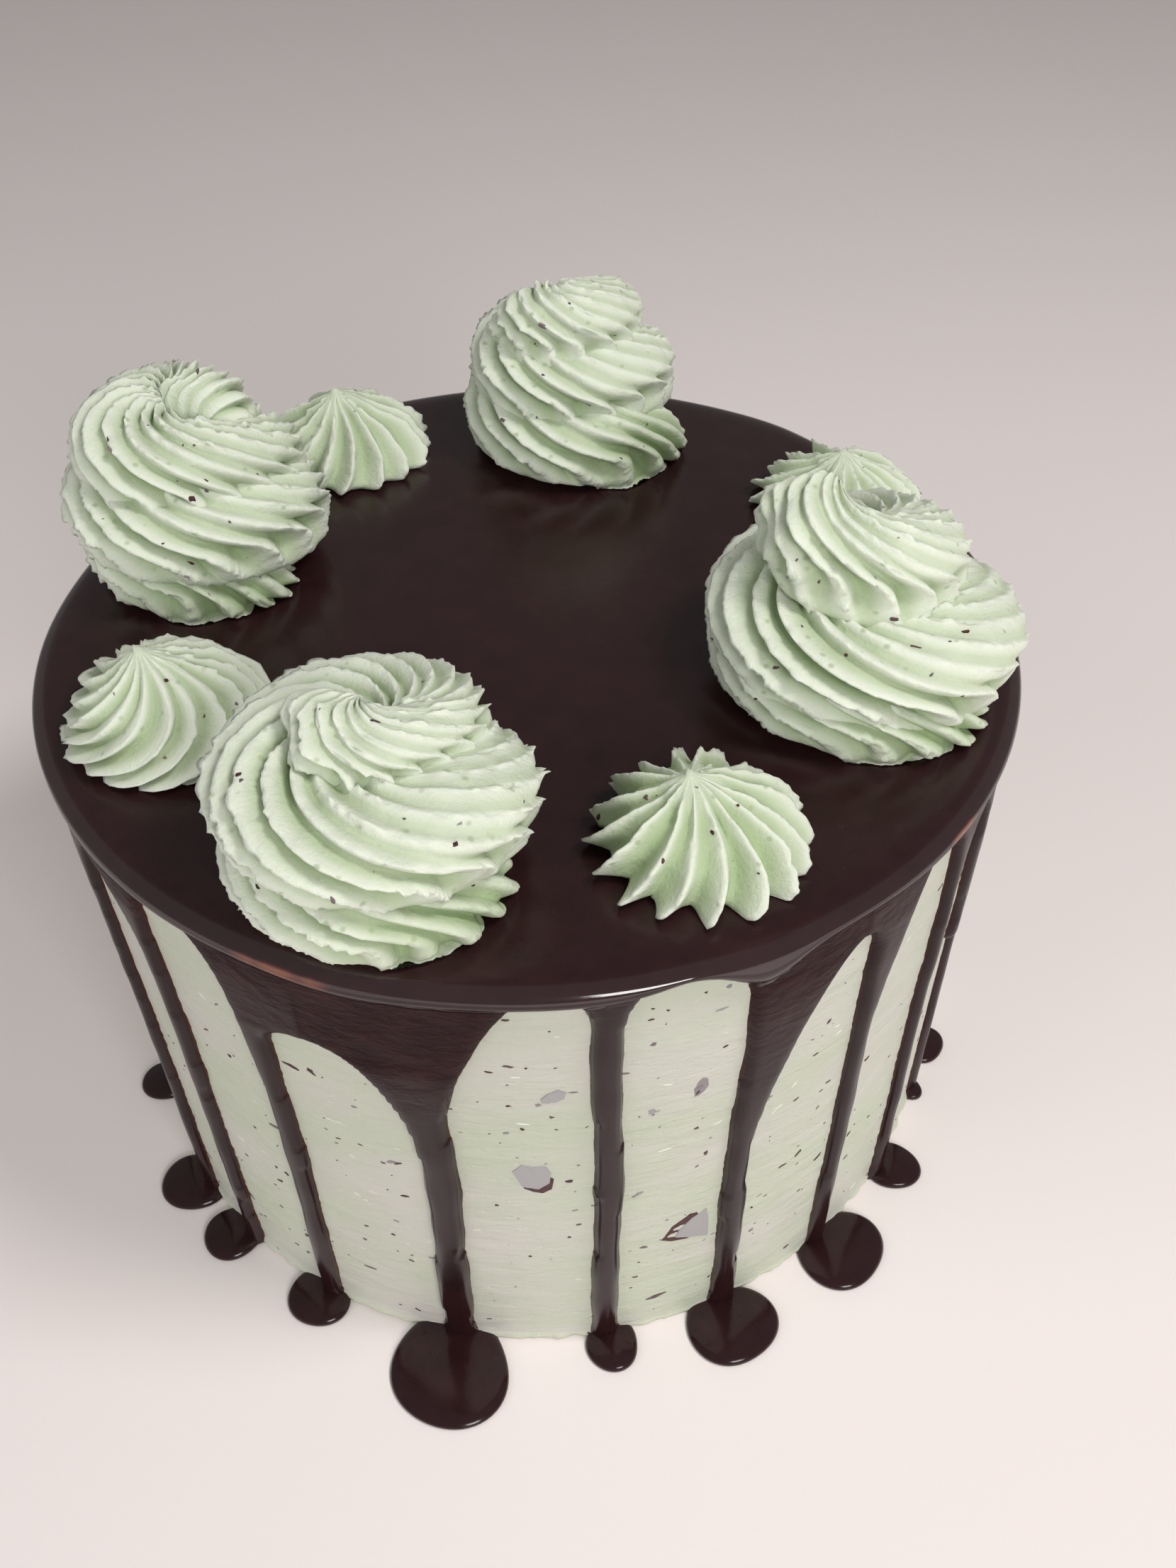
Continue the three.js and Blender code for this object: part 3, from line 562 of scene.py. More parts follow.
def ganache_piece(material):
    azimuth, z, rim, inside, depth, across, web, which = sheet()
    edge = lip_edge(azimuth)
    roll = np.clip((rim - z) / (rim - edge), 0, 1)
    lip = (LIP_REACH + 0.15) * np.sqrt(np.clip(1 - roll ** 2.2, 0, 1)) - 0.15
    stream = np.where(depth > 0, stream_height(depth, across, web, which, azimuth, z), -0.2)
    lift = np.where(z >= edge, smooth_max(lip, stream, 0.35), stream)
    lift = np.where(inside <= 0, -EDGE_SINK, lift)
    base = wall_radius(z) + wall_swell(azimuth, z)
    outer = around(np.minimum(base + lift, RIM_RADIUS + LIP_REACH), azimuth, z)
    inner = around(base - INNER_SINK, azimuth, z)
    top = rim_rows(azimuth[-1], outer[-1])

    # The outside of the sheet, and the same faces again on its inside, sharing the points on the edge.
    rows, columns = z.shape
    count = rows * columns
    values = inside.reshape(-1)
    points = np.vstack([outer.reshape(-1, 3), inner.reshape(-1, 3), top.reshape(-1, 3),
                        (0, 0, TOP_HEIGHT - 0.1), (0, 0, CAKE_HEIGHT - 0.3)])
    sheet_quads, sheet_triangles, added = clip_grid(points, values, grid_quads(rows, columns))

    def inward(faces):
        on_edge = (faces >= count) | (values[np.minimum(faces, count - 1)] == 0)
        return np.where(on_edge, faces, faces + count)[:, ::-1]

    # The rim and the top close it above, and a disk over the frosting below.
    ring = np.arange(columns)
    last, first_rim, middle = count - columns + ring, 2 * count + ring, 2 * count + len(top) * columns
    joint = np.stack([last, np.roll(last, -1), np.roll(first_rim, -1), first_rim], -1)
    quads = [sheet_quads, inward(sheet_quads), joint, grid_quads(len(top), columns, 2 * count)]
    triangles = [sheet_triangles, inward(sheet_triangles), fan(middle - columns + ring, middle),
                 fan(count + last, middle + 1, flip=True)]
    points = [points, added]
    total = len(points[0]) + len(added)

    # How thin the ganache is, and how glossy: the lip most, the webs least.
    thin = np.zeros(total)
    thin[:count] = 1 - ease(0.2, 1.5, lift.reshape(-1))
    thin[total - len(added):] = 1
    gloss = np.full(total, 0.72)
    gloss[:count] = np.where(z > edge, 0.8, lerp(0.66, 0.15, web) + 0.16 * ease(30, 3, z)).reshape(-1)
    gloss[2 * count:2 * count + GLOSSY_RIM_ROWS * columns] = 1
    lip_band = ease(0.5, 0.9, (z - edge) / (rim - edge))
    broken = np.clip(1 + 0.5 * noise(around(RIM_RADIUS, azimuth, 0), 3, 51), 0, 1)
    away = (azimuth[..., None] - THIN_LIP[:, 0] * DEGREE) / (THIN_LIP[:, 1] * DEGREE)
    patchy = 1.8 * np.exp(-(away ** 4)).max(axis=-1) * broken
    thin[:count] = np.maximum(thin[:count], (patchy * lip_band).reshape(-1))
    for row, strength in enumerate((1, 0.6)):
        where = first_rim + row * columns
        thin[where] = np.maximum(thin[where], patchy[-1] * strength)

    for drip in filter(has_pool, DRIPS):
        pool_points, pool_quads, pool_triangles = pool(drip, total)
        points.append(pool_points)
        quads.append(pool_quads)
        triangles.append(pool_triangles)
        total += len(pool_points)
        thin = np.append(thin, 0.6 * (1 - ease(0.2, 1.3, pool_points[:, 2])))
    gloss = np.append(gloss, np.full(total - len(gloss), 0.88))

    points, quads, triangles = (np.vstack(part) for part in (points, quads, triangles))
    used = np.zeros(total, dtype=bool)
    used[quads] = True
    used[triangles] = True
    number = np.cumsum(used) - 1
    return add_piece("ganache_layer", points[used], number[quads], number[triangles], material, "ganache",
                     "ganache", thin=thin[used], gloss=gloss[used])


# ---- Piping ----

def tooth_shape(share, skew, scoop=0):
    """How deep in its groove a tooth's sample is, 0 on the ridge and 1 in the valley. The valley lies just before
    the next ridge where skew is 1, and just after this one where it is -1. A scoop of 1 makes sharp ridges."""
    share = np.mod(share, 1)
    valley = 0.5 + 0.24 * skew
    x = np.where(share < valley, share / valley, (1 - share) / (1 - valley))
    gentle = np.where(share < valley, skew, -skew) > 0
    back = 0.22 * x + 0.78 * x ** 2.1
    steep = 1 - (1 - x) ** 1.5
    even = x * x * (3 - 2 * x)
    return lerp(lerp(even, np.where(gentle, back, steep), np.abs(skew)), 1 - (1 - x) ** 1.9, scoop)


def teeth(along, spacing, seed):
    """The samples of the teeth in rows that lie so far along: place in turns of the section, share of the
    tooth, unevenness, and how far they wander sideways."""
    tooth = np.repeat(np.arange(TIP_TEETH), len(TOOTH_SHARES))[None, :]
    share = np.tile(TOOTH_SHARES, TIP_TEETH)[None, :]
    spots = np.stack(np.broadcast_arrays(tooth * 7.7, along, 0), -1)
    uneven, wander = noise(spots, 1, seed + 40), noise(spots * (1, spacing, 1), 1, seed + 41)
    return (tooth + share) / TIP_TEETH, share, uneven, wander


def roughness(points, share, seed):
    """A fine unevenness, and torn little nicks along the very edge of the ridges."""
    fine = 0.3 * noise(points, 3.4, seed + 2) + 0.12 * noise(points, 1.3, seed + 3)
    edge = np.exp(-((np.minimum(share % 1, 1 - share % 1) / 0.08) ** 2))
    tears = 0.5 * noise(points, 2.6, seed) + 0.9 * noise(points, 0.9, seed + 1)
    return fine + edge * tears * lerp(0.35, 1.2, ease(-0.4, 0.4, noise(points, 9, seed + 4)))


def rope_path(swirl):
    """Sections along a swirl's rope: turns done, coil radius, lift of the middle, half width."""
    stops = np.array(swirl.path, float)
    fine = np.linspace(0, stops[-1, 0], 1600)
    coil, lift, half = (smoothed(np.interp(fine, stops[:, 0], stops[:, k]), 2600) for k in (1, 2, 3))
    end = np.clip((fine[-1] - fine) / swirl.tail, 0, 1)
    half = half * np.sqrt(1 - (1 - end) ** 2.4 * (1 - swirl.tip ** 2))
    step = np.hypot(np.diff(fine) * TAU * (coil[1:] + half[1:]), np.hypot(np.diff(lift), np.diff(half) * 0.6))
    travel = np.hstack([[0], np.cumsum(step)])
    row_step = ROW_STEP * 1
    where = np.linspace(0, travel[-1], int(travel[-1] / row_step))
    turns = np.interp(where, travel, fine)
    return turns, *(np.interp(turns, fine, v) for v in (coil, lift, half))


def swirl_form(swirl, seed):
    """A swirl's rope: rows of points, how high on a ridge and deep in a hollow they are, and two end points."""
    turns, coil, lift, half = (v[:, None] for v in rope_path(swirl))
    azimuth = swirl.start * DEGREE - turns * TAU
    curl = ease(1, 0, turns / CURL_TURN) * 90 * DEGREE
    flat = lerp(swirl.flat, 1, ease(0, 90 * DEGREE, curl))
    height = lift + half * swirl.flat * SETTLE * ease(0, CURL_TURN * 1.1, turns) + 0.3
    last_turn = swirl.path[-1][0]
    late = ease(last_turn - 0.5, last_turn - 0.25, turns)
    fresh = ease(0.28, 0.1, turns)

    place, share, uneven, wander = teeth(turns * 3, 1.9, seed)
    phase = place * TAU - (azimuth + DRAG * np.sin(azimuth - DRAG_AZIMUTH))
    angle = phase + BUNCHING * np.sin(phase - BUNCH_MIDDLE)
    outer, upper = np.cos(angle), np.sin(angle)

    # The grooves fade on top at one side, and on the underside.
    side = turn_from(azimuth, SMOOTH_AZIMUTH) / SMOOTH_WIDTH
    faded = np.clip(swirl.smooth * np.exp(-(side ** 2)), 0, 1) * ease(0.05, 0.25, turns)
    faded = faded * (1 - swirl.rough_end * late)
    skew = np.clip(0.9 - 1.9 * faded + 0.2 * uneven, -1, 1) * (1 - 0.8 * fresh)
    groove = tooth_shape(share, skew)
    groove = lerp(groove, smooth_max(groove, 0.3, 0.25), fresh)
    section = turn_from(angle, 0) / DEGREE
    below = ease(-54, -16, section) + ease(-110, -150, section)
    on_top = ease(lerp(0.35, -0.45, faded), lerp(1, 0.3, faded), upper)
    depth = ROPE_GROOVE * (1 - on_top * lerp(0.25, 0.94, faded)) * np.clip(below, 0, 1)
    depth = depth * (1 - 0.15 * faded) * (1 - 0.35 * late)
    depth = depth * (1 + 0.3 * uneven) * ease(-0.1, 0.35, half / 9)
    crest = np.clip(1 - groove, 0, 1)
    size = 1 - depth * groove + 0.03 * uneven * crest
    angle = angle - RIDGE_LEAN * skew * crest ** 1.5 * (depth / ROPE_GROOVE) + 0.05 * wander

    # Each section stands across the path, and the first ones lie tipped over.
    across = half * flat * size * np.sin(angle)
    radius = smooth_max(coil + half * size * np.cos(angle), 0.3, 1)
    outward = around(1, azimuth, 0)
    back = np.stack([-np.sin(azimuth), np.cos(azimuth), 0 * azimuth], -1)
    points = around(radius, azimuth, height + across * np.cos(curl)) + back * (across * np.sin(curl))[..., None]
    climb = lift / swirl.path[-1][2]
    points[..., :2] += np.array(swirl.lean) * (climb ** 1.1)[..., None]
    normal = np.cos(angle)[..., None] * outward + np.sin(angle)[..., None] * (
        back * np.sin(curl)[..., None] + np.array([0, 0, 1]) * np.cos(curl)[..., None])
    lumps = late * 1.2 * noise(points, 4.5, seed + 6)
    points = points + normal * ((roughness(points, share, seed) + lumps) * ease(0, 6, half))[..., None]

    # The feet of the ridges curl back, and the lowest ones are drawn in where they rest.
    under = ease(CURL_TOP, CURL_FOOT, turn_from(angle, 0)) * (outer > -0.2)
    points = points - back * (CURL_BACK * under * half / 13 * np.cos(curl))[..., None]
    tuck = 1.6 * ease(2.6, 0, points[..., 2]) ** 1.5 * (outer > 0)
    points = points - outward * tuck[..., None]
    points[..., 2] = np.maximum(points[..., 2], 0.02)
    return points, crest, groove * depth * half / 3, points[0].mean(axis=0), points[-1].mean(axis=0) + swirl.peak


def star_form(star, seed):
    """A star in the same terms: rings of teeth that lean over as they rise, and a peak."""
    rise_in, spread_in = np.array(STAR_OUTLINE).T
    rise = np.interp(np.linspace(0, 1, STAR_RINGS), np.linspace(0, 1, len(rise_in)), rise_in)
    spread = smoothed(np.interp(rise, rise_in, spread_in), 3)[:, None]
    rise = rise[:, None]
    place, share, uneven, wander = teeth(rise * 1.5, 2, seed)
    skew = np.full(uneven.shape, star.skew)
    groove = tooth_shape(share, skew, star.scoop)
    crest = 1 - groove
    depth = star.groove * (0.95 + 0.3 * uneven) * ease(1, 0.7, rise)
    depth = depth * (0.8 + 0.2 * ease(0, 0.3, rise))
    twist = star.turn + star.twist * rise - star.sweep * (1 - rise) ** 2.6
    angle = place * TAU + twist * DEGREE + 0.05 * wander + 0.1 * skew * crest ** 1.5
    r = star.radius * spread * (1 - depth * groove + 0.05 * uneven * crest)
    points = around(r, angle, star.height * rise)
    points[..., 2] += 0.9 * uneven * ease(0.1, 0.5, rise) * ease(1, 0.8, rise)
    points[..., :2] += np.array(star.tilt) * rise[..., None] ** 2
    points += 0.7 * noise(points, 4.5, seed + 6)[..., None] * around(0.7, angle, 0.5)
    points += around(1, angle, 0.3) * (roughness(points, share, seed) * ease(0, 4, r))[..., None]
    points[..., 2] = np.maximum(points[..., 2], 0.02)
    apex = points[-1].mean(axis=0) + (star.tilt[0] * 0.3, star.tilt[1] * 0.3, star.height * 0.08)
    return points, crest, groove * depth * star.radius / 4.5, points[0].mean(axis=0), apex


def piping_piece(shape, form, material):
    """A swirl or a star; the material is told where its ridges and hollows are, for its paler ridges, partly painted
    highlight, and its painted shade in the hollows.
    """
    rows, crest, hollow, start, end = form
    points, quads, triangles = loft(rows, start, end)
    points = points + (shape.x, shape.y, PIPING_BASE)
    return add_piece(shape.name + "_piped", points, quads, triangles, material, "piped_buttercream",
                     shape.name, crest=np.append(crest, [0.3, 0.8]), hollow=np.append(hollow, [0.3, 0]))


# ---- Flecks of chocolate ----

# Where the larger ones show in the picture: across, down, length, width, and unless they are 0 a turn in degrees
# and how far the frosting veils them. A veil of 2 is a raised stroke of the frosting itself.
FLECKS = [
    (1260, 873, 2.1, 1.2, -20, 0.1), (1364, 891, 2.2, 0.8, 15), (1293, 913, 2.6, 0.8, 5), (1194, 924, 1, 0.7, 40),
    (1095, 942, 1.2, 0.8, 0, 0.1), (1124, 790, 0.8, 0.5, 60, 0.1), (1155, 821, 0.9, 0.5, 70, 0.1),
    (1358, 982, 0.8, 0.6), (1066, 986, 0.7, 0.5), (530, 1018, 2.4, 0.6), (643, 1192, 1.1, 0.9),
    (335, 1093, 1.3, 1.1, 30), (469, 1270, 1.5, 0.9, -60, 0.3), (363, 1251, 1.2, 0.6, -50), (667, 1249, 0.7, 0.5),
    (747, 1229, 0.6, 0.5), (570, 1155, 0.7, 0.5, 0, 0.2), (272, 704, 2.4, 1.3, -15), (153, 621, 1.8, 0.6, -60),
    (155, 633, 1.4, 0.6, -50, 0.5), (291, 678, 0.9, 0.6), (292, 693, 1.4, 0.6, -30, 0.2), (363, 669, 0.7, 0.6),
    (274, 628, 0.6, 0.5), (250, 679, 0.7, 0.5, 0, 0.4), (269, 794, 1.8, 0.6, -10), (263, 814, 1.6, 0.7, -20, 0.5),
    (230, 767, 0.7, 0.5), (324, 736, 0.9, 0.6, -30, 0.3), (279, 524, 1.5, 0.6, 70, 0.1),
    (766, 461, 2.6, 1.3, -20, 0.4), (755, 485, 0.8, 0.6, 0, 0.1), (803, 428, 0.8, 0.6, 0, 0.2),
    (766, 529, 0.9, 0.7), (831, 571, 1.6, 0.9, -20, 0.4), (913, 598, 1, 0.8, 80, 0.3), (972, 604, 0.8, 0.6),
    (868, 473, 0.8, 0.6, 0, 0.5), (709, 593, 1.6, 0.9, -30, 0.2), (233, 960, 1.2, 1),
    (334, 993, 1.2, 0.6, -35, 0.3), (233, 1069, 1, 0.7, 0, 0.4), (911, 1125, 1.1, 1, 0, 0.1),
    (845, 1152, 1.8, 0.9, 65), (1041, 1136, 0.9, 0.6, 20), (1005, 1174, 1, 0.7, -60), (935, 1215, 1.2, 0.7, 70),
    (904, 1088, 0.7, 0.6), (1070, 1232, 0.6, 0.4), (1340, 905, 0.8, 0.5, 0, 0.1), (340, 1101, 1, 0.6, 60, 0.2),
    (712, 1439, 1.5, 0.6), (922, 1473, 1.1, 1, 0, 0.3), (1023, 1476, 1.4, 0.6, 10), (988, 1533, 2.8, 1.5, 50, 0.5),
    (985, 1540, 1.8, 0.5, 55), (996, 1400, 0.7, 0.6), (921, 1423, 0.8, 0.5, 0, 0.1), (942, 1425, 0.9, 0.5, -20),
    (324, 1489, 1.3, 0.8, -30), (688, 1512, 1.6, 0.5, -15), (717, 1560, 1.1, 0.7, -10), (737, 1593, 1, 0.7, -30),
    (758, 1559, 1.3, 1, 0, 0.6), (779, 1552, 3.8, 1.8, 20, 0.85), (808, 1541, 2.2, 0.5, 5, 0.5),
    (778, 1576, 1.2, 0.6, -10, 0.1), (499, 1561, 1.2, 0.8, 0, 0.7), (410, 1503, 4.2, 0.8, -10),
    (438, 1511, 2.4, 1.3, -35), (983, 1591, 1.2, 0.7, 0, 0.1), (920, 1568, 2.2, 1.2, 15, 0.8),
    (742, 1507, 0.6, 0.5), (390, 1646, 1.2, 0.6, -50), (404, 1655, 1.5, 0.6, -35), (433, 1742, 1.3, 1.3, -40, 0.2),
    (435, 1766, 1, 1, 0, 0.3), (639, 1629, 1.9, 0.6, -15), (803, 1666, 1.8, 0.8, -10),
    (901, 1684, 2.6, 1.1, 25, 0.8), (995, 1626, 1.8, 1, 75, 0.1), (1126, 1626, 2.4, 0.9, 45, 0.1),
    (748, 1772, 0.9, 0.7), (803, 1745, 0.7, 0.6), (581, 1778, 1.3, 0.6, -15, 0.2), (610, 1774, 1.8, 0.9, 0, 0.75),
    (517, 1729, 1.2, 0.7, 10, 0.2), (896, 1801, 1.9, 0.5, 10, 0.1), (1060, 1703, 0.8, 0.6),
    (924, 1828, 4.4, 1.4, 14, 0.1), (1100, 1480, 1.2, 0.6, 30), (1170, 1440, 1.4, 0.6, 40, 0.1),
    (360, 1590, 1, 0.6, -40), (540, 1640, 1.2, 0.5, -20, 0.2), (700, 1700, 1, 0.6), (860, 1640, 1, 0.6, 0, 0.1),
    (690, 1860, 1.2, 0.5, 5, 0.2), (830, 1880, 1, 0.6), (1000, 1800, 1, 0.5, 20), (464, 1578, 3.2, 0.45, -8, 2),
    (481, 1584, 2.2, 0.4, -14, 2), (496, 1630, 2.6, 0.4, -10, 2), (726, 1520, 1.8, 0.35, 0, 2),
    (740, 1586, 2.6, 0.4, -12, 2), (938, 1622, 3, 0.4, 14, 2), (1012, 1584, 2.4, 0.4, 16, 2),
    (284, 1404, 2.2, 0.5, -30, 2), (785, 1462, 1.6, 0.35, 5, 2), (504, 1684, 2.4, 0.6, -40, 2),
    (515, 1692, 2, 0.4, 0, 2), (673, 1735, 2.2, 0.35, 8, 2), (1120, 1530, 2.4, 0.4, 35, 2),
    (1090, 1570, 1.8, 0.4, 30, 2), (560, 1620, 1.8, 0.35, -8, 2), (860, 1600, 1.6, 0.35, 4, 2),
]
# The broad flakes in the wall and the dark edges under them: veil, height above the wall, corners in the picture.
FLAKES = [
    (0, 0.1, [(932, 1750), (947, 1731), (973, 1712), (984, 1709),
        (988, 1722), (985, 1738), (968, 1747), (946, 1751)]),
    (0.97, 0.23, [(951, 1745), (957, 1735), (975, 1718), (997, 1703),
        (999, 1715), (999, 1728), (998, 1741), (972, 1744)]),
    (0, 0.1, [(738, 1676), (752, 1681), (766, 1683), (779, 1677),
        (782, 1663), (776, 1660), (760, 1668), (745, 1670)]),
    (0.97, 0.23, [(722, 1652), (735, 1643), (752, 1646), (770, 1645),
        (778, 1655), (776, 1668), (760, 1677), (736, 1673)]),
    (0.6, 0.1, [(980, 1547), (979, 1538), (984, 1528), (992, 1520),
        (999, 1521), (1000, 1530), (994, 1538), (987, 1544)]),
    (0.95, 0.23, [(762, 1551), (772, 1543), (788, 1537), (799, 1541),
        (796, 1549), (784, 1554), (772, 1555), (764, 1556)]),
]


def crumb_faces(count):
    """The triangles of that many crumbs."""
    ring, top = np.arange(CRUMB_CORNERS), 2 * CRUMB_CORNERS
    sides = grid_quads(2, CRUMB_CORNERS)
    faces = np.vstack([fan(ring, top), sides[:, [1, 0, 3]], sides[:, [1, 3, 2]],
                       fan(ring + CRUMB_CORNERS, top + 1, flip=True)])
    return np.vstack([faces + CRUMB_POINTS * k for k in range(count)])


def fleck_piece(pieces, cover, material):
    """All the crumbs: the ones seen in the picture, and scattered ones everywhere else."""
    depsgraph = bpy.context.evaluated_depsgraph_get()
    trees = {name: BVHTree.FromObject(piece, depsgraph) for name, piece in pieces.items()}
    shield = BVHTree.FromObject(cover, depsgraph)
    rng = np.random.default_rng(7)
    right, up, back = CAMERA_TURN.transposed()
    points, veils = [], []

    def picture_ray(across, down):
        aside, above = (across - PICTURE_WIDTH / 2) / PICTURE_HEIGHT, (down - PICTURE_HEIGHT / 2) / PICTURE_HEIGHT
        return (right * aside - up * above - back * CAMERA_FOCUS).normalized()

    def first_hit(origin, direction, names):
        """Where a ray first meets one of those pieces, unless the ganache is in front of it."""
        best = shield.ray_cast(origin, direction)
        reach, found = (best[3] if best[0] is not None else math.inf), None
        for name in names:
            at, normal, _, away = trees[name].ray_cast(origin, direction)
            if at is not None and away < reach:
                reach, found = away, (at, normal)
        return found

    def add_crumb(veil, upper, lower, middle, out, height, dome):
        """A flat crumb: a ring above the surface, one sunk below it, and a middle point for each."""
        sink = out * CRUMB_SINK
        points.append(np.vstack([upper + out * height, lower - sink, middle + out * (height + dome), middle - sink]))
        veils.append(veil)

    def place(found, length, width, turn, veil):
        at, normal = found
        along = right - normal * right.dot(normal)
        if along.length < 0.2:
            along = up - normal * up.dot(normal)
        along = (Matrix.Rotation(turn, 3, normal) @ along).normalized()
        turns = (np.arange(CRUMB_CORNERS) + rng.uniform(-0.3, 0.3, CRUMB_CORNERS)) / CRUMB_CORNERS * TAU
        size = rng.uniform(0.5, 1.2, CRUMB_CORNERS)
        x, y = length / 2 * size * np.cos(turns), width / 2 * size * np.sin(turns)
        flat = np.outer(x, along) + np.outer(y, normal.cross(along))
        middle = np.array(at) * TO_MM
        height = 0.07 + 0.05 * min(width, 1.5)
        add_crumb(veil, middle + flat * 0.86, middle + flat, middle, np.array(normal), height, 0.04)

    for across, down, length, width, *rest in FLECKS:
        turn, veil = (*rest, 0, 0)[:2]
        found = first_hit(CAMERA_AT, picture_ray(across, down), trees)
        if found:
            place(found, length, width, turn * DEGREE, veil)
    for veil, height, outline in FLAKES:
        hits = [trees["cake_body"].ray_cast(CAMERA_AT, picture_ray(*corner))[0] for corner in reversed(outline)]
        corners = np.array(hits) * TO_MM
        middle = corners.mean(axis=0)
        outward = middle * (1, 1, 0) / np.hypot(middle[0], middle[1])
        add_crumb(veil, lerp(middle, corners, 0.97), corners, middle, outward, height, 0.02)
    for part in SWIRLS + STARS:
        middle = Vector((part.x, part.y, PIPING_BASE + 8)) * MM
        for _ in range(PIPED_FLECKS if part in SWIRLS else PIPED_FLECKS // 2):
            direction = Vector(rng.normal(size=3))
            direction.z = abs(direction.z)
            direction.normalize()
            target = middle + Vector(rng.uniform(-7, 7, 3)) * MM
            found = first_hit(target + direction * 0.05, -direction, [part.name])
            size = 0.3 + 0.5 * rng.uniform() ** 2
            stretch, turn, veil = rng.uniform(1, 2.4), rng.uniform(0, TAU), rng.uniform(0, 0.8)
            if found:
                place(found, size * stretch, size * 0.7, turn, veil)
    for _ in range(WALL_FLECKS):
        azimuth, z = rng.uniform(0, TAU), rng.uniform(1.5, 106)
        outward = Vector((math.cos(azimuth), math.sin(azimuth), 0))
        size = 0.3 + 0.9 * rng.uniform() ** 3.5
        stretch, turn, veil = rng.uniform(1, 3), rng.normal(0.1, 0.4), 0.9 * rng.uniform() ** 1.5
        if rng.uniform() < PALE_SHARE:
            size, stretch, turn, veil = 0.45, rng.uniform(3, 6), rng.normal(0, 0.2), PALE_VEIL
        found = first_hit(outward * 0.12 + Vector((0, 0, z * MM)), -outward, ["cake_body"])
        if found:
            place(found, size * stretch, size * 0.8, turn, veil)

    triangles = crumb_faces(len(points))
    add_piece("chocolate_flecks", np.vstack(points), triangles[:0], triangles, material, "ganache", flat=True,
              veil=np.repeat(veils, CRUMB_POINTS))


# ---- Materials ----

class Nodes:
    """A small helper that adds and links shader nodes."""

    def __init__(self, name):
        self.material = bpy.data.materials.new(name)
        self.material.use_nodes = True
        self.tree = self.material.node_tree
        self.shader = self.tree.nodes["Principled BSDF"]

    def put(self, socket, value):
        """Links another node's output to a socket, or sets the socket to a plain value."""
        if isinstance(value, bpy.types.NodeSocket):
            self.tree.links.new(value, socket)
        else:
            socket.default_value = value

    def node(self, kind, inputs, output=0, **settings):
        """Adds a node and gives back one of its outputs."""
        made = self.tree.nodes.new("ShaderNode" + kind)
        for key, value in settings.items():
            setattr(made, key, value)
        for key, value in inputs.items():
            self.put(made.inputs[key], value)
        return made.outputs[output]

    def spots(self, *scale):
        """Object coordinates, stretched by a scale along each axis."""
        return self.node("Mapping", {"Vector": self.node("TexCoord", {}, "Object"), "Scale": scale})

    def noise(self, vector, scale, detail=2, roughness=0.5, distortion=0):
        return self.node("TexNoise", {"Vector": vector, "Scale": scale, "Detail": detail, "Roughness": roughness,
                                      "Distortion": distortion}, "Fac")

    def voronoi(self, vector, scale, output="Distance"):
        return self.node("TexVoronoi", {"Vector": vector, "Scale": scale}, output)

    def attribute(self, name):
        return self.node("Attribute", {}, "Fac", attribute_name=name)

    def math(self, operation, a, b):
        return self.node("Math", {0: a, 1: b}, operation=operation)

    def times(self, a, b):
        return self.math("MULTIPLY", a, b)

    def remap(self, value, low, high, to_low=0, to_high=1):
        return self.node("MapRange", {"Value": value, "From Min": low, "From Max": high, "To Min": to_low,
                                      "To Max": to_high})

    def tint(self, base, *layers):
        """A colour under layers of (factor, red, green, blue), all as they look on screen."""
        color = srgb(*base)
        for factor, *rgb in layers:
            color = self.node("Mix", {0: factor, 6: color, 7: srgb(*rgb)}, 2, data_type="RGBA")
        return color

    def bump(self, height, strength, distance, **below):
        """A bump over another given as Normal; its distance is in metres."""
        return self.node("Bump", {"Height": height, "Strength": strength, "Distance": distance, **below})

    def set(self, **sockets):
        for key, value in sockets.items():
            self.put(self.shader.inputs[key.replace("_", " ")], value)


def srgb(r, g, b):
    """A colour given as it looks on screen, 0 to 255."""
    channel = lambda v: v / 12.92 if v <= 0.04045 else ((v + 0.055) / 1.055) ** 2.4
    return (*(channel(v / 255) for v in (r, g, b)), 1)


def mint_material():
    """Smoothed frosting: streaked, greener at the foot, darker towards the top as a painted fall-off of the light
    bounced up from the board, with white tears and pits.
    """
    m = Nodes("mint_coat")
    flat = m.spots(1, 1, 1)
    height = m.node("SeparateXYZ", {"Vector": flat}, 2)
    broad = m.noise(m.spots(1, 1, 2), 30, 4, 0.6)
    streaks = m.noise(m.spots(1, 1, 5), 55, 4, 0.6)
    marks = m.remap(m.noise(m.spots(1, 1, 2.8), 300, 3, 0.6), 0.68, 0.75)
    torn = m.times(marks, m.remap(m.noise(flat, 60, 1), 0.5, 0.62))
    color = m.tint(
        (205, 202, 195),
        (m.remap(broad, 0.35, 0.65), 193, 201, 179),
        (m.remap(streaks, 0.4, 0.72, 0, 0.25), 216, 220, 206),
        (m.remap(height, 0.0016, 0.0008, 0, 0.6), 207, 216, 188),
        (m.times(torn, 0.9), 240, 242, 232),
        # painted light: darker towards the top, as the light bounced up from the board fades
        (m.remap(height, 0, 0.1, 0, 0.45), 180, 184, 168))
    m.set(Base_Color=color, Roughness=m.remap(streaks, 0.3, 0.7, 0.42, 0.6), Specular_IOR_Level=0.4)
    scratches = m.noise(m.spots(1, 1, 5), 150, 4, 0.65, 0.6)
    pits = m.remap(m.voronoi(flat, 420), 0, 0.22)
    normal = m.bump(scratches, 0.4, 0.0006)
    normal = m.bump(m.noise(flat, 1400, 2), 0.2, 0.0003, Normal=normal)
    normal = m.bump(pits, 0.3, 0.0003, Normal=normal)
    m.set(Normal=m.bump(torn, -0.8, 0.0008, Normal=normal))
    return m.material


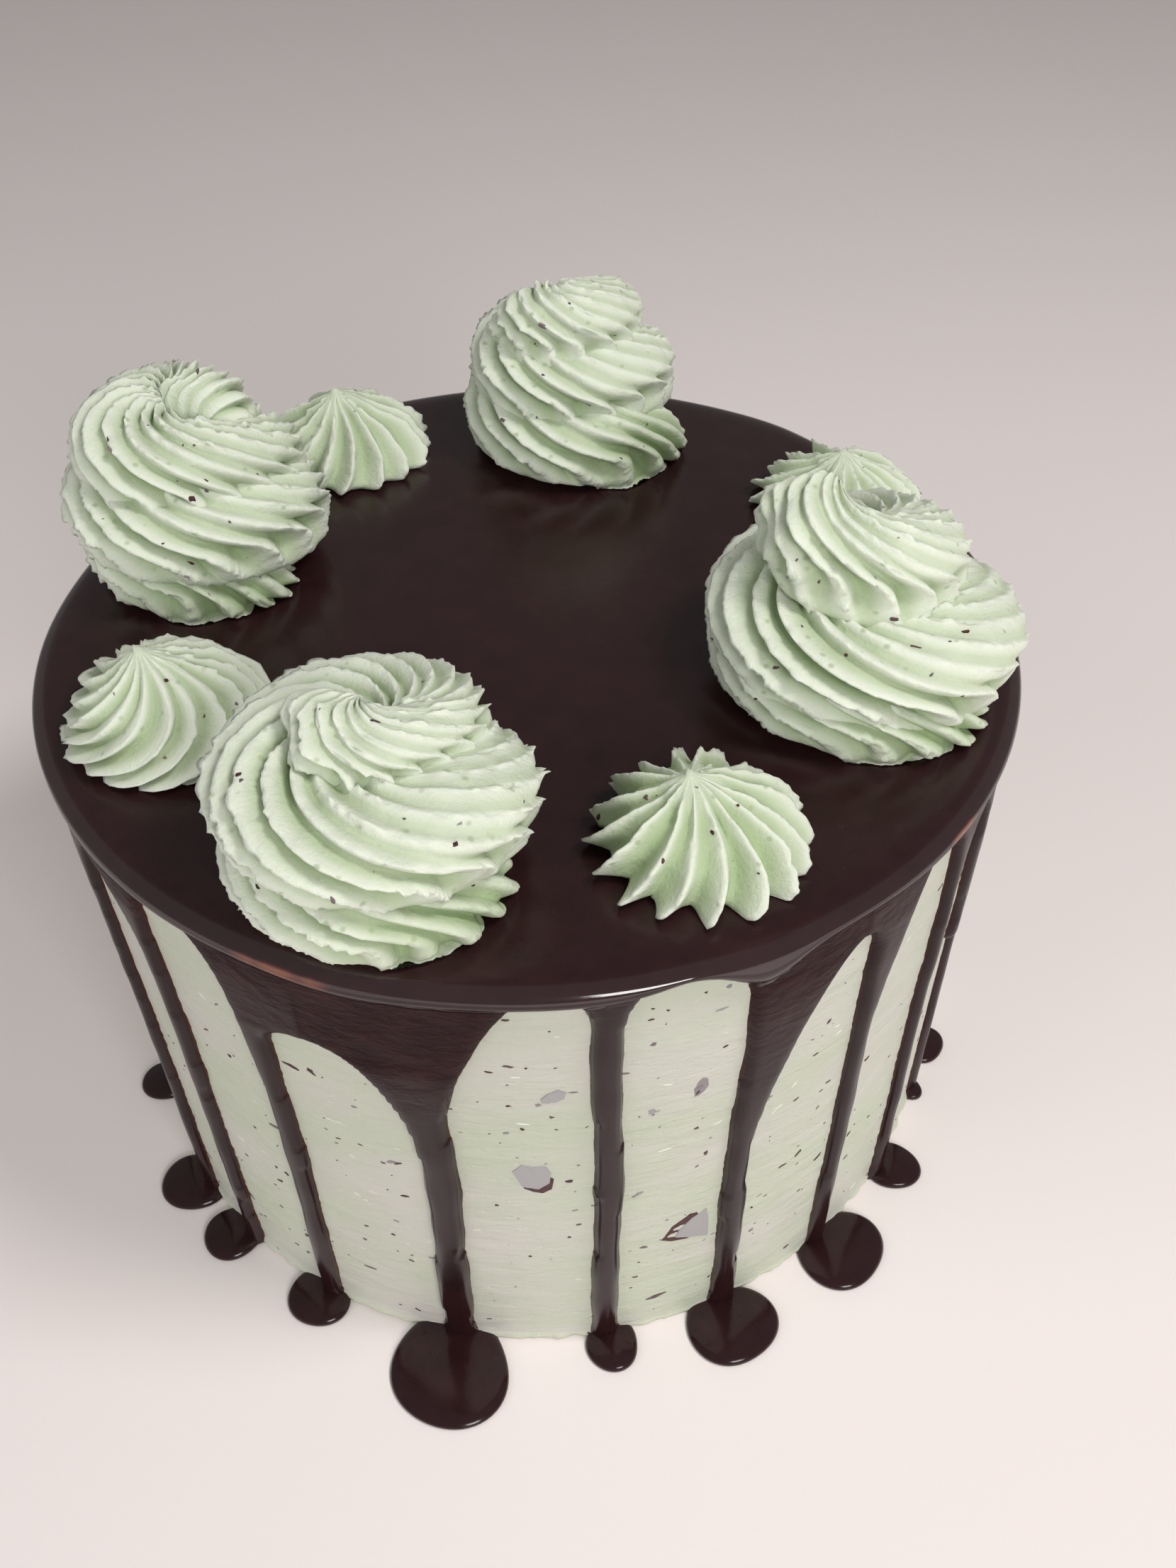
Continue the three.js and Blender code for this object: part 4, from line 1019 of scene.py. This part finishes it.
def piped_material():
    """Piped frosting: paler on the ridges, from thin torn paste and painted highlight; darker green painted shade in
    the hollows; air pits darkened as painted shade.
    """
    m = Nodes("piped_mint")
    flat = m.spots(1, 1, 1)
    holes = m.spots(1, 1, 1.4)
    chosen = m.node("SeparateColor", {"Color": m.voronoi(holes, 330, "Color")})
    pits = m.times(m.remap(m.voronoi(holes, 330), 0.24, 0.1), m.math("GREATER_THAN", chosen, 0.55))
    color = m.tint(
        (190, 201, 174),
        (m.remap(m.noise(flat, 120, 3), 0.35, 0.65), 198, 208, 184),
        # paler ridges: partly the thin torn paste, partly painted highlight
        (m.remap(m.attribute("crest"), 0.3, 1, 0, 0.8), 224, 229, 216),
        # painted shade: darker green deep in the grooves, where the ridges block the light
        (m.remap(m.attribute("hollow"), 0.3, 1.3, 0, 0.9), 156, 177, 131),
        # painted shade: the inside of the air pits darkened, on top of their bump
        (m.times(pits, 0.7), 160, 176, 138))
    m.set(Base_Color=color, Roughness=0.6, Specular_IOR_Level=0.35)
    m.set(Subsurface_Weight=0.12, Subsurface_Radius=(1, 1, 0.7), Subsurface_Scale=0.0012)
    normal = m.bump(m.noise(flat, 1300, 4, 0.65), 0.5, 0.0005)
    m.set(Normal=m.bump(pits, -0.8, 0.0008, Normal=normal))
    return m.material


def ganache_material():
    """Set ganache: streaked where gloss is low, darkest on the drips, brown where it is thin."""
    m = Nodes("ganache_layer")
    thin, gloss = m.attribute("thin"), m.attribute("gloss")
    dull = m.remap(gloss, 0.2, 0.6, 1, 0)
    cloud = m.noise(m.spots(1, 1, 0.5), 170, 5, 0.6)
    streaks = m.noise(m.spots(1, 1, 2.2), 130, 4, 0.6, 0.2)
    reddish = m.times(m.remap(streaks, 0.48, 0.68), dull)
    on_drips = m.times(m.remap(gloss, 0.4, 0.6), m.remap(gloss, 0.71, 0.7))
    color = m.tint(
        (36, 17, 19),
        (m.remap(cloud, 0.3, 0.7), 44, 23, 25),
        (m.times(reddish, 0.45), 60, 34, 33),
        (m.times(on_drips, 0.7), 27, 10, 12),
        (m.remap(thin, 0.5, 1, 0, 0.7), 98, 50, 36),
        (m.remap(thin, 1, 1.8, 0, 1), 122, 70, 47))
    specular = m.math("ADD", m.remap(gloss, 0.2, 0.9, 0.1, 0.42), m.remap(gloss, 0.9, 1, 0, 0.5))
    m.set(Base_Color=color, Roughness=m.remap(gloss, 0, 1, 0.58, 0.1), Specular_IOR_Level=specular)
    grain = m.times(m.noise(m.spots(1, 1, 1), 700, 3), m.remap(gloss, 0.3, 0.9, 1, 0.15))
    normal = m.bump(m.times(streaks, dull), 0.7, 0.0016)
    m.set(Normal=m.bump(grain, 0.15, 0.0003, Normal=normal))
    return m.material


def fleck_material():
    """Chocolate, greyer the more it is veiled, and frosting where the veil is 2."""
    m = Nodes("chocolate_flecks")
    veil = m.attribute("veil")
    grain = m.noise(m.spots(1, 1, 1), 900, 2)
    color = m.tint(
        (62, 34, 38),
        (m.remap(grain, 0.35, 0.65), 84, 52, 54),
        (veil, 166, 164, 164),
        (m.remap(veil, 1, 2), 222, 226, 214))
    m.set(Base_Color=color, Roughness=0.5, Specular_IOR_Level=0.4)
    return m.material


def add_floor():
    m = Nodes("floor")
    m.set(Base_Color=srgb(238, 230, 228), Roughness=0.55)
    s, z = FLOOR_HALF, -FLOOR_DROP
    mesh = bpy.data.meshes.new("floor")
    mesh.from_pydata([(-s, -s, z), (s, -s, z), (s, s, z), (-s, s, z)], [], [(0, 1, 2, 3)])
    mesh.materials.append(m.material)
    add_object("floor", mesh)


# ---- The whole scene ----

add_camera()
add_studio()
add_floor()
mint, piped, ganache = mint_material(), piped_material(), ganache_material()
pieces = {"cake_body": cake_piece(mint)}
glaze = ganache_piece(ganache)
for i, swirl in enumerate(SWIRLS):
    pieces[swirl.name] = piping_piece(swirl, swirl_form(swirl, 100 + 20 * i), piped)
for i, star in enumerate(STARS):
    pieces[star.name] = piping_piece(star, star_form(star, 200 + 20 * i), piped)
fleck_piece(pieces, glaze, fleck_material())
